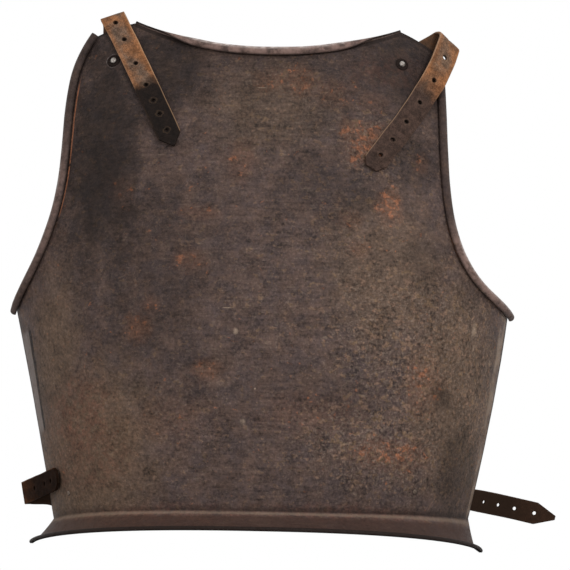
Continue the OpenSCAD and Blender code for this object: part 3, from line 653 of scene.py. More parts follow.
@dataclass
class Fastener:
    """A riveted shank with peened heads, and the washers under them."""

    form: PlateForm
    size: FastenerForm
    washer_radius: float = 5.4
    washer_thick: float = 0.8
    seat_depth: float = 0.2
    strap_gap: float = 0.6
    strap_thick: float = 2.4
    washer_gap: float = 0.3
    fit: float = 0.05
    seat_room: float = 0.35
    reach: float = 3.0
    sides: int = 36
    lumps: Pair = (1.7, 0.05)
    chips: Pair = (3.1, 0.02)
    smooth_run: float = 0.8
    tail_profile: tuple[Pair, ...] = (
        (0.3, 0.8), (0.55, 0.72), (0.85, 0.45), (1, 0.2), (0.97, 0))
    head_profile: tuple[Pair, ...] = (
        (0.97, 0), (1, 0.2), (0.94, 0.45), (0.78, 0.7), (0.52, 0.89), (0.25, 0.98))

    @property
    def matrix(self) -> Matrix:
        """Puts z along the bore, away from the wearer."""
        return stand(self.point, self.form.normal(np.array(self.size.x), np.array(self.size.z)))

    @property
    def point(self) -> Array:
        """Gives the middle of the bore on the sheet."""
        return self.form.body(np.array(self.size.x), np.array(self.size.z))

    @property
    def under(self) -> float:
        """Gives the depth of the inner washer's outer face."""
        return self.form.sheet / 2 + self.strap_gap + self.strap_thick + self.washer_gap

    def cutters(self) -> list[Piece]:
        """Builds the drills for the bore and the washer's seat in the sheet."""
        washer_room = (self.washer_radius if self.size.outer_washer else self.size.head) + self.seat_room
        seat = self.form.sheet / 2 - self.seat_depth
        tools = []
        for radius, low, high in ((self.size.shank + self.fit, -self.reach, self.reach),
                                  (washer_room, seat, seat + self.reach)):
            tool = drill(radius, low, high, self.sides)
            tool.data.transform(self.matrix)
            tools.append(tool)
        return tools

    def build(self) -> list[tuple[Piece, str]]:
        """Builds the rivet and its washers.

        Returns:
            Each piece with the CAD node that it replaces.
        """
        s = self.size
        top = self.form.sheet / 2 - self.seat_depth + (self.washer_thick if s.outer_washer else 0)
        back = self.under + self.washer_thick
        h, c = s.head, s.crown
        rings = [(h * r, -back - c * z) for r, z in self.tail_profile]
        rings += [(s.shank, -back), (s.shank, top)]
        rings += [(h * r, top + c * z) for r, z in self.head_profile]
        rivet = self._turn(f"{s.name}_rivet_peened", rings, closed=False)
        pieces = [(rivet, f"{s.name}_rivet")]
        feet = (-self.under - self.washer_thick, self.form.sheet / 2 - self.seat_depth)
        for label, foot, node in zip(("inner", "outer"), feet, s.washers):
            r, t, b = self.washer_radius, self.washer_thick, s.shank + self.fit
            ring = [(b, 0), (r - 0.15, 0), (r, 0.15), (r, t - 0.3), (r - 0.1, t - 0.1), (r - 0.35, t),
                    (r * 0.6, t), (b + 0.1, t), (b, t - 0.1), (b, 0)]
            ring = [(radius, foot + height) for radius, height in ring]
            pieces.append((self._turn(f"{s.name}_washer_{label}", ring, closed=True), node))
        return pieces

    def _turn(self, name: str, rings: Sequence[Pair], closed: bool) -> Piece:
        """Extrudes a circle through rings.

        Args:
            name: Name of the piece.
            rings: Radius and height of each ring.
            closed: Whether the last ring meets the first, as on a washer.

        Returns:
            The piece in its place on the sheet.
        """
        bpy.ops.object.select_all(action="DESELECT")
        radius, height = rings[0]
        bpy.ops.mesh.primitive_circle_add(vertices=self.sides, radius=radius * MM,
                                          location=(0, 0, height * MM),
                                          fill_type="NOTHING" if closed else "NGON")
        settle()
        obj = name_piece(name)
        bpy.ops.object.mode_set(mode="EDIT")
        bpy.ops.mesh.select_mode(type="EDGE")
        bpy.ops.mesh.select_all(action="SELECT")
        for radius, height in rings[1:]:
            bpy.ops.mesh.extrude_region_move()
            mesh = bmesh.from_edit_mesh(obj.data)
            for p in [q for q in mesh.verts if q.select]:
                r = math.hypot(p.co.x, p.co.y)
                p.co = Vector((p.co.x * radius * MM / r, p.co.y * radius * MM / r, height * MM))
            bmesh.update_edit_mesh(obj.data)
        bpy.ops.mesh.select_all(action="SELECT")
        bpy.ops.mesh.remove_doubles(threshold=1e-6)
        face_out(obj)
        self._dent(obj)
        obj.data.transform(self.matrix)
        shade(obj, SMALL_ANGLE)
        return obj

    def _dent(self, obj: Piece) -> None:
        """Makes a turned piece slightly uneven, as hand work is."""
        points = read_points(obj)
        r = np.hypot(points[:, 0], points[:, 1])
        rim = smooth((r - self.size.shank * 1.05) / self.smooth_run)
        size, depth = self.lumps
        points[:, 2] += depth * ripple(points, size, self.size.x) * rim
        size, depth = self.chips
        points[:, :2] *= (1 - depth * (1 + ripple(points, size, self.size.z)) * rim)[:, None]
        write_points(obj, points)


@dataclass(frozen=True)
class Bend:
    """A dent across a strap: where it is, how deep and how long."""

    at: float
    depth: float
    length: float


@dataclass(frozen=True)
class Parting:
    """The plane that parts the two hinged halves of a laid strap, measured from the top of its bend."""

    normal: tuple[float, float, float]
    offset: float
    margin: float
    tail_from: float | None = None


@dataclass
class Strap:
    """A leather strap that is cut flat, punched, and then laid to its shape."""

    form: PlateForm
    name: str
    start: float
    tip: float
    half: float
    stop: float
    tip_half: float
    holes: tuple[float, ...]
    bore: float
    bore_radius: float
    crest: float
    fine_half: float
    parting: Parting
    thick: float = 2.4
    hole_radius: float = 1.4
    hole_sides: int = 24
    tail_cut: float = 3.0
    edge_round: float = 0.42
    pitch: float = 1.6
    lanes: int = 8
    fine_cuts: int = 13
    cut_shift: Pair = (0.013, 0.011)
    round_angle: float = 35.0
    edge_wear: Pair = (14.0, 0.28)
    thin_wear: Pair = (31.0, 0.06)
    lump_wear: Pair = (6.5, 0.09)
    hole_wear: float = 2.2
    hole_dent: Pair = (0.22, -0.16)
    hole_dent_run: float = 1.5
    calm: float = 7.0
    bends: tuple[Bend, ...] = ()
    seed: float = 1.0

    def place(self, s: Array, w: Array, n: Array) -> Array:
        """Gives where a point of the flat strap comes to lie."""
        raise NotImplementedError

    @property
    def hinge(self) -> tuple[list[float], list[float]]:
        """Gives where the strap starts and ends its turn at the hinge, in metres."""
        top = self.place(np.array([self.crest]), np.zeros(1), np.zeros(1))[0]
        reach = self.parting.offset + np.array([-1.0, 1.0]) * self.parting.margin
        start, end = (top + unit(np.array(self.parting.normal)) * r for r in reach)
        return list(start * MM), list(end * MM)

    def build(self) -> list[Piece]:
        """Cuts, punches, rounds, slices and lays the strap.

        Returns:
            The strap as one piece, or its hinged part and its hanging tail.
        """
        obj = self._blank()
        self._punch(obj)
        apply_modifier(obj, "BEVEL", width=self.edge_round * MM, segments=3, limit_method="ANGLE",
                       angle_limit=math.radians(self.round_angle))
        self._slice(obj)
        pieces = [obj]
        if self.parting.tail_from is not None:
            pieces.append(self._part(obj, self.crest + self.parting.tail_from))
        for piece in pieces:
            self._lay(piece)
        return pieces

    def _part(self, obj: Piece, at: float) -> Piece:
        """Cuts the tail off the flat strap.

        Args:
            obj: The flat strap, which keeps its near end.
            at: Place of the cut along the strap.

        Returns:
            The tail.
        """
        activate(obj)
        bpy.ops.object.duplicate()
        tail = name_piece(self.name + "_tail")
        for piece, side in ((obj, "clear_outer"), (tail, "clear_inner")):
            self._bisect(piece, at, 0, use_fill=True, **{side: True})
        return tail

    def _lay(self, obj: Piece) -> None:
        """Wears a flat piece of the strap and lays it to its shape."""
        self._wear(obj)
        flat = read_points(obj)
        laid = self.place(flat[:, 0], flat[:, 1], flat[:, 2])
        write_points(obj, laid)
        face_out(obj)
        shade(obj, SMALL_ANGLE)

    def _blank(self) -> Piece:
        """Cuts the flat strap with its tail corners and its tip."""
        bpy.ops.object.select_all(action="DESELECT")
        length = self.tip - self.start
        bpy.ops.mesh.primitive_cube_add(size=1, location=((self.start + length / 2) * MM, 0, 0),
                                        scale=(length * MM, 2 * self.half * MM, self.thick * MM))
        settle()
        obj = name_piece(self.name)
        for at in (self.start + self.tail_cut, self.stop):
            self._bisect(obj, at, 0)
        points = read_points(obj)
        tail, end = (np.abs(points[:, 0] - at) < 1e-3 for at in (self.start, self.tip))
        points[tail, 1] *= (self.half - self.tail_cut) / self.half
        points[end, 1] = points[end, 1] * self.tip_half / self.half
        write_points(obj, points)
        return obj

    def _bisect(self, obj: Piece, at: float, axis: int, **options: bool) -> None:
        """Cuts across the whole strap at a place along an axis."""
        edit_all(obj)
        normal = np.eye(3)[axis]
        bpy.ops.mesh.bisect(plane_co=normal * at * MM, plane_no=normal, **options)
        bpy.ops.object.mode_set(mode="OBJECT")

    def _punch(self, obj: Piece) -> None:
        """Punches the holes and the rivet's bore."""
        places = [(self.hole_radius, self.tip - d) for d in self.holes] + [(self.bore_radius, self.bore)]
        reach = 1.5 * self.thick
        cut_away(obj, [drill(radius, -reach, reach, self.hole_sides, at) for radius, at in places])

    def _slice(self, obj: Piece) -> None:
        """Cuts the strap into short steps, finer where it hinges."""
        cuts = list(np.arange(self.start + self.pitch, self.tip - 0.5, self.pitch))
        cuts += list(np.linspace(self.crest - self.fine_half, self.crest + self.fine_half, self.fine_cuts))
        off_run, off_lane = self.cut_shift
        for at in sorted(cuts):
            self._bisect(obj, at + off_run, 0)
        for lane in range(1, self.lanes):
            self._bisect(obj, -self.half + 2 * self.half * lane / self.lanes + off_lane, 1)

    def _wear(self, obj: Piece) -> None:
        """Makes the flat leather uneven and keeps the places that its finish reads."""
        flat = read_points(obj)
        s, w, n = flat.T
        rim = np.min([np.hypot(s - self.tip + d, w) for d in self.holes], axis=0) - self.hole_radius
        write_field(obj, "run", s - self.crest)
        write_field(obj, "across", w / self.half)
        write_field(obj, "grain_side", smooth(n / self.thick * -2.2 + 0.5))
        write_field(obj, "hole", 1 - smooth(rim / self.hole_wear))
        layer = obj.data.attributes.new("flat", "FLOAT_VECTOR", "POINT")
        layer.data.foreach_set("vector", (flat * MM).astype(np.float32).ravel())
        keep = smooth(np.abs(s - self.bore) / self.calm - 0.3)
        edge = np.stack([s, s * 0, s * 0], -1)
        size, depth = self.edge_wear
        w = w + depth * ripple(edge, size, self.seed) * np.sign(w) * np.abs(w / self.half) * keep
        size, depth = self.thin_wear
        n = n * (1 - depth * (1 + ripple(edge, size, self.seed + 5)) * keep)
        size, depth = self.lump_wear
        n = n + ripple(flat * np.array([1, 1, 0]), size, self.seed + 2) * depth * keep
        n = n + np.where(flat[:, 2] < 0, *self.hole_dent) * np.exp(-(rim / self.hole_dent_run) ** 2)
        for bend in self.bends:
            n = n + bend.depth * np.exp(-((s - self.crest - bend.at) / bend.length) ** 2)
        write_points(obj, np.stack([s, w, n], -1))


def arc_step(p: Array, a: Array, d: Array, turn: Array) -> tuple[Array, Array]:
    """Goes a distance along an arc.

    Args:
        p: Start points as along, out.
        a: Headings in degrees.
        d: Distances.
        turn: Turns in degrees.

    Returns:
        The end points and the headings there.
    """
    r0, r1 = np.radians(a), np.radians(a + turn)
    bent = np.abs(turn) >= 0.01
    r = np.where(bent, d / np.where(bent, np.radians(turn), 1), 0)
    straight = np.stack([d * np.cos(r0), d * np.sin(r0)], -1)
    arc = np.stack([r * (np.sin(r1) - np.sin(r0)), r * (np.cos(r0) - np.cos(r1))], -1)
    return p + np.where(bent[:, None], arc, straight), a + turn


def walk(path: Path, d: Array, start: Pair) -> tuple[Array, Array]:
    """Reads a path of lengths and turns at distances along it.

    Args:
        path: Length and turn of each part.
        d: Distances; below zero, the first part is drawn out backwards.
        start: First point as along, out.

    Returns:
        Points and headings in degrees.
    """
    p = np.tile(np.array(start, float), (len(d), 1))
    a = np.zeros(len(d))
    left = d.astype(float)
    for k, (length, turn) in enumerate(path):
        step = np.clip(left, 0 if k else -np.inf, length)
        p, a = arc_step(p, a, step, turn * step / length)
        left = left - step
    return arc_step(p, a, left, left * 0)


@dataclass
class ShoulderStrap(Strap):
    """A strap that rises behind the plate, loops over its shoulder and hangs outside."""

    x: float = 0.0
    z: float = 0.0
    slope: float = 0.0
    skew: float = 0.0
    path: Path = ()
    sway: float = 0.0
    bow: float = 0.0
    bow_form: Pair = (5.1, 1.4)
    inside: float = INSIDE
    square_run: float = 20.0
    flat_from: float = 0.0

    def place(self, s: Array, w: Array, n: Array) -> Array:
        """Gives where a point of the flat strap comes to lie."""
        c, d = math.cos(math.radians(self.skew)), math.sin(math.radians(self.skew))
        k = np.clip((s - self.start) / self.square_run, 0, 1)
        k = k * np.clip((self.stop - s) / (self.stop - self.flat_from), 0, 1)
        run = s + w * d / c * k
        t = np.clip((s - self.crest) / (self.tip - self.crest), 0, 1)
        rise, power = self.bow_form
        a = run * d + w * c + self.sway * t + self.bow * rise * t * (1 - t) ** power
        q, heading = walk(self.path, run * c - w * d, (0.0, self.inside))
        r = np.radians(heading)
        b, h = q[:, 0] - n * np.sin(r), q[:, 1] + n * np.cos(r)
        m = math.radians(self.slope)
        x = self.x + a * math.cos(m) - b * math.sin(m)
        z = self.z + a * math.sin(m) + b * math.cos(m)
        return self.form.body(x, z) + self.form.normal(x, z) * h[:, None]


@dataclass
class WaistStrap(Strap):
    """A strap that follows the inside of the plate round to its side edge and leaves it there."""

    side: Side = Side.LEFT
    x: float = 0.0
    z: float = 0.0
    climb: float = 0.0
    path: Path = ()
    slopes: Pair = (0.5, 0.5)
    slope_run: Pair = (10.0, 32.0)
    skew_from: float = 1e9
    inside: float = INSIDE
    leave: float = 79.0
    samples: int = 13
    merge_half: float = 1.5

    def _wrap(self, z: Array, psi: Array, h: Array) -> Array:
        """Gives points at an angle round the plate and a height off it."""
        s = self.side.value
        x = s * self.form.half_axis(z, np.full_like(z, s)) * np.sin(np.radians(psi))
        return self.form.body(x, z) + self.form.normal(x, z) * h[:, None]

    @property
    def from_angle(self) -> float:
        """Gives the angle round the plate at which the rivet sits."""
        half = self.form.half_axis(np.array(self.z), np.array(self.side.value))
        return math.degrees(math.asin(self.x / float(half)))

    @property
    def run_inside(self) -> float:
        """Gives the length from the rivet to the side edge."""
        psi = np.linspace(self.from_angle, self.leave, self.samples)
        p = self._wrap(np.full_like(psi, self.z), psi, psi * 0)
        return float(np.linalg.norm(np.diff(p, axis=0), axis=1).sum())

    def _edge(self) -> tuple[Array, Array, Array, Array]:
        """Gives the point at the side edge and the directions up, out and along."""
        z = self.z + self.climb
        zz, psi, zero = z + self.half * np.array([-1, 0, 1]), np.full(3, self.leave), np.zeros(3)
        p = self._wrap(zz, psi, zero)
        up = unit(p[2] - p[0])
        n = self.form.normal(p[1:2, 0], p[1:2, 2])[0]
        out = unit(n - up * (n @ up))
        return p[1], up, out, np.cross(up, out) * self.side.value

    def place(self, s: Array, w: Array, n: Array) -> Array:
        """Gives where a point of the flat strap comes to lie."""
        run, foot = self.run_inside, self._edge()
        share = np.minimum(s, 0) / run
        psi = self.leave + share * (self.leave - self.from_angle)
        z = self.z + self.climb + self.climb * share + w
        behind = self._wrap(z, psi, self.inside + n)
        slope = np.radians(mix(*self.slopes, smooth((s - self.slope_run[0]) / np.ptp(self.slope_run))))
        k = -np.clip((s - self.skew_from) / (self.stop - self.skew_from), 0, 1)
        q, heading = walk(self.path, s - w * np.tan(slope) * k, (0.0, self.inside))
        r = np.radians(heading)
        rise = s * np.tan(slope) + w / np.cos(slope)
        point, up, out, along = foot
        beyond = (point + up * rise[:, None] + along * (q[:, 0] - n * np.sin(r))[:, None]
                  + out * (q[:, 1] + n * np.cos(r))[:, None])
        return mix(behind, beyond, smooth((s + self.merge_half) / (2 * self.merge_half))[:, None])


def loop_path(run: float, radius: float, lean: float, stand_off: float, fall: float,
              inside: float, outside: float) -> Path:
    """Gives the path of a shoulder strap over the top of the plate.

    Args:
        run: Straight length behind the plate.
        radius: Radius of the loop.
        lean: How far the strap turns past a half circle, in degrees.
        stand_off: Length that stands off the plate.
        fall: Turn back towards the plate, in degrees.
        inside: Height of the strap's middle behind the plate.
        outside: Height of the strap's middle outside it.

    Returns:
        Lengths and turns.
    """
    a, b = math.radians(lean), math.radians(lean + fall)
    high = inside + radius * (1 + math.cos(a)) - stand_off * math.sin(a)
    zero = np.zeros((1, 2))
    bend_in, bend_out = 4.0, 5.0
    into, _ = arc_step(zero, np.array([lean]), np.array([bend_in]), np.array([fall]))
    out, _ = arc_step(zero, np.array([lean + fall]), np.array([bend_out]), np.array([-lean - fall]))
    drop = (high - into[0, 1] - out[0, 1] - outside) / math.sin(b)
    return ((run, 0.0), (radius * math.radians(180 + lean), 180 + lean), (stand_off, 0.0), (bend_in, fall),
            (drop, 0.0), (bend_out, -lean - fall))


class Value:
    """A shader socket that arithmetic joins with numbers and with other sockets."""

    def __init__(self, graph: "Graph", socket: bpy.types.NodeSocket) -> None:
        """Keeps the socket and the graph that it belongs to."""
        self.graph = graph
        self.socket = socket

    def __add__(self, other: "Value | float") -> "Value":
        """Gives the sum."""
        return self.graph.math("ADD", self, other)

    def __sub__(self, other: "Value | float") -> "Value":
        """Gives the difference."""
        return self.graph.math("SUBTRACT", self, other)

    def __rsub__(self, other: float) -> "Value":
        """Gives a number less this value."""
        return self.graph.math("SUBTRACT", other, self)

    def __mul__(self, other: "Value | float") -> "Value":
        """Gives the product."""
        return self.graph.math("MULTIPLY", self, other)

    def __or__(self, other: "Value | float") -> "Value":
        """Gives the larger of the two, which joins two masks."""
        return self.graph.math("MAXIMUM", self, other)

    def __abs__(self) -> "Value":
        """Gives the value without its sign."""
        return self.graph.math("ABSOLUTE", self)


class Graph:
    """Short ways to add and join shader nodes in one tree."""

    def __init__(self, tree: NodeTree) -> None:
        """Keeps the tree and clears it."""
        self.tree = tree
        tree.nodes.clear()

    def node(self, kind: str, inputs: Inputs | None = None, **settings: object) -> bpy.types.Node:
        """Adds a node.

        Args:
            kind: Blender's type name of the node, after the words ShaderNode.
            inputs: Values for its inputs.
            **settings: Properties of the node.

        Returns:
            The node.
        """
        new = self.tree.nodes.new("ShaderNode" + kind)
        for key, value in settings.items():
            setattr(new, key, value)
        for key, value in (inputs or {}).items():
            self.feed(new.inputs[key], value)
        return new

    def feed(self, socket: bpy.types.NodeSocket, value: object) -> None:
        """Links a socket to a value or sets its number."""
        if isinstance(value, Value):
            self.tree.links.new(value.socket, socket)
        elif value is not None:
            socket.default_value = value

    def value(self, kind: str, inputs: Inputs | None = None, output: str | int = 0,
              **settings: object) -> Value:
        """Adds a node and gives one of its outputs."""
        return Value(self, self.node(kind, inputs, **settings).outputs[output])

    def use(self, group: NodeTree, inputs: dict[str, object]) -> list[Value]:
        """Places a node group with its own values and gives its outputs."""
        return [Value(self, socket) for socket in self.node("Group", inputs, node_tree=group).outputs]

    def math(self, operation: str, *terms: object) -> Value:
        """Adds a Math node and gives its result."""
        return self.value("Math", dict(enumerate(terms)), operation=operation)

    def vector(self, operation: str, inputs: Inputs, output: str = "Vector") -> Value:
        """Adds a Vector Math node and gives its result."""
        return self.value("VectorMath", inputs, output, operation=operation)

    def blend(self, share: object, a: object, b: object, blend_type: str = "MIX") -> Value:
        """Mixes two colours and gives the result."""
        return self.value("Mix", {0: share, 6: a, 7: b}, 2, data_type="RGBA", blend_type=blend_type)

    def noise(self, at: Value, scale: object, detail: float = 3.0, rough: float = 0.55,
              bend: float = 0.0) -> Value:
        """Adds a Noise texture and gives its value."""
        return self.value("TexNoise", {"Vector": at, "Scale": scale, "Detail": detail, "Roughness": rough,
                                       "Distortion": bend})

    def step(self, value: object, low: object, high: object, to_low: float = 0.0,
             to_high: float = 1.0) -> Value:
        """Maps a value smoothly from one range to another."""
        return self.value("MapRange", {0: value, 1: low, 2: high, 3: to_low, 4: to_high},
                          interpolation_type="SMOOTHSTEP")

    def fall(self, value: Value, low: float, high: float) -> Value:
        """Gives a mask that falls from 1 to 0 between two values."""
        return self.step(value, low, high, 1.0, 0.0)

    def band(self, value: Value, low: float, high: float, soft: float) -> Value:
        """Gives a mask that is 1 between two values."""
        return self.step(value, low - soft, low + soft) * self.fall(value, high - soft, high + soft)

    def field(self, name: str) -> Value:
        """Reads a number that the mesh keeps for each vertex."""
        return self.value("Attribute", output="Fac", attribute_name=name)

    def stretch(self, at: Value, scale: tuple[float, float, float],
                turn: tuple[float, float, float] = (0, 0, 0)) -> Value:
        """Scales and turns a vector."""
        return self.value("Mapping", {"Vector": at, "Scale": scale, "Rotation": turn})

    def surface(self, colour: Value, rough: Value, shine: float, bump: Pair, height: Value,
                metal: Value | None = None) -> None:
        """Ends a material with its shader.

        Args:
            colour: Base colour.
            rough: Roughness.
            shine: Specular level.
            bump: Strength of the bump and its depth in metres.
            height: What the bump reads.
            metal: How much of it is bare metal.
        """
        normal = self.value("Bump", {"Strength": bump[0], "Distance": bump[1], "Height": height})
        shader = self.value("BsdfPrincipled", {"Base Color": colour, "Roughness": rough, "Metallic": metal,
                                               "Specular IOR Level": shine, "Normal": normal})
        self.node("OutputMaterial", {0: shader})


def new_material(name: str) -> tuple[Material, Graph]:
    """Makes a material and the graph of its nodes."""
    material = bpy.data.materials.new(name)
    material.use_nodes = True
    return material, Graph(material.node_tree)


def make_group(name: str, inputs: dict[str, float | None], outputs: Sequence[str],
               build: Callable[..., Sequence[Value]]) -> NodeTree:
    """Makes a shader node group.

    Args:
        name: Name of the group.
        inputs: First value of each input; those with None are vectors.
        outputs: Names of its outputs, all numbers.
        build: Takes the graph and the inputs, and gives the outputs.

    Returns:
        The group.
    """
    tree = bpy.data.node_groups.new(name, "ShaderNodeTree")
    for label, value in inputs.items():
        kind = "NodeSocketVector" if value is None else "NodeSocketFloat"
        socket = tree.interface.new_socket(label, in_out="INPUT", socket_type=kind)
        if value is not None:
            socket.default_value = value
    for label in outputs:
        tree.interface.new_socket(label, in_out="OUTPUT", socket_type="NodeSocketFloat")
    graph = Graph(tree)
    source, sink = tree.nodes.new("NodeGroupInput"), tree.nodes.new("NodeGroupOutput")
    results = build(graph, *[Value(graph, source.outputs[label]) for label in inputs])
    for label, result in zip(outputs, results):
        graph.feed(sink.inputs[label], result)
    return tree


class Effects:
    """The shader groups that more than one finish uses."""

    def __init__(self) -> None:
        """Makes each group once."""
        place = {"Vector": None}
        self.mottle = make_group("Mottle", place | {"Scale": 20.0, "Sharp": 0.2}, ["Mask"], self._mottle)
        self.pits = make_group("Pits", place | {"Scale": 300.0, "Amount": 0.3}, ["Mask"], self._pits)
        self.streaks = make_group("Streaks", place | {"Scale": 120.0}, ["Mask"], self._streaks)
        self.patch = make_group("Patch", place | {"Centre": None, "Radius": None, "Break": 0.5, "Torn": 0.0},
                                ["Mask"], self._patch)
        self.grain = make_group("Grain", place | {"Scale": 900.0}, ["Height", "Cracks"], self._grain)

    def _mottle(self, g: Graph, at: Value, scale: Value, sharp: Value) -> list[Value]:
        """Gives cloudy variation."""
        return [g.step(g.noise(at, scale, 6.0, 0.62, 0.35), 0.5 - sharp, sharp + 0.5)]

    def _pits(self, g: Graph, at: Value, scale: Value, amount: Value) -> list[Value]:
        """Gives small sunk pits."""
        cells = g.value("TexVoronoi", {"Vector": at, "Scale": scale, "Randomness": 1.0}, "Distance")
        return [g.fall(cells, 0.08, 0.42) * g.step(g.noise(at, scale, 2.0, 0.5), 0.75 - amount, 0.8)]

    def _streaks(self, g: Graph, at: Value, scale: Value) -> list[Value]:
        """Gives short thin scratches that run across."""
        lines = []
        for turn, long in ((0.06, 0.09), (-0.35, 0.12), (1.4, 0.1)):
            drawn = g.stretch(at, (long, 1.0, 1.0), (0, turn, 0))
            lines.append(g.step(g.noise(drawn, scale * 4.0, 2.0, 0.5), 0.66, 0.75))
        return [reduce(or_, lines) * g.step(g.noise(at, scale, 3.0, 0.5), 0.5, 0.7)]

    def _patch(self, g: Graph, at: Value, centre: Value, radius: Value, broken: Value,
               torn: Value) -> list[Value]:
        """Gives one soft-edged patch round a centre."""
        off = g.vector("DIVIDE", {0: g.vector("SUBTRACT", {0: at, 1: centre}), 1: radius})
        return [g.fall(torn * broken + g.vector("LENGTH", {0: off}, "Value"), 0.3, 1.15)]

    def _grain(self, g: Graph, at: Value, scale: Value) -> list[Value]:
        """Gives the pebbled grain and the fine cracks of leather."""
        cells = g.value("TexVoronoi", {"Vector": at, "Scale": scale}, "Distance", feature="F1")
        pebbles = cells * 0.35 + g.noise(at, scale * 0.35, 5.0, 0.6)
        fold = g.noise(g.stretch(at, (1.0, 0.3, 1.0)), scale * 0.22, 3.0, 0.6, 0.4)
        cracks = g.fall(abs(fold - 0.52), 0.004, 0.022)
        return [pebbles, cracks * g.step(g.noise(at, scale * 0.07, 3.0, 0.5), 0.42, 0.6)]


@dataclass(frozen=True)
class Patch:
    """A patch on the plate: x and z of its centre, its two radii and its strength."""

    x: float
    z: float
    wide: float
    high: float
    strength: float = 1.0

    @property
    def inputs(self) -> dict[str, tuple[float, float, float]]:
        """Gives the place and the size in metres; a patch goes through the whole depth."""
        return {"Centre": (self.x * MM, 0, self.z * MM), "Radius": (self.wide * MM, 1e3, self.high * MM)}


def patches(*rows: tuple[float, ...]) -> tuple[Patch, ...]:
    """Gives a patch for each row of its values."""
    return tuple(Patch(*row) for row in rows)


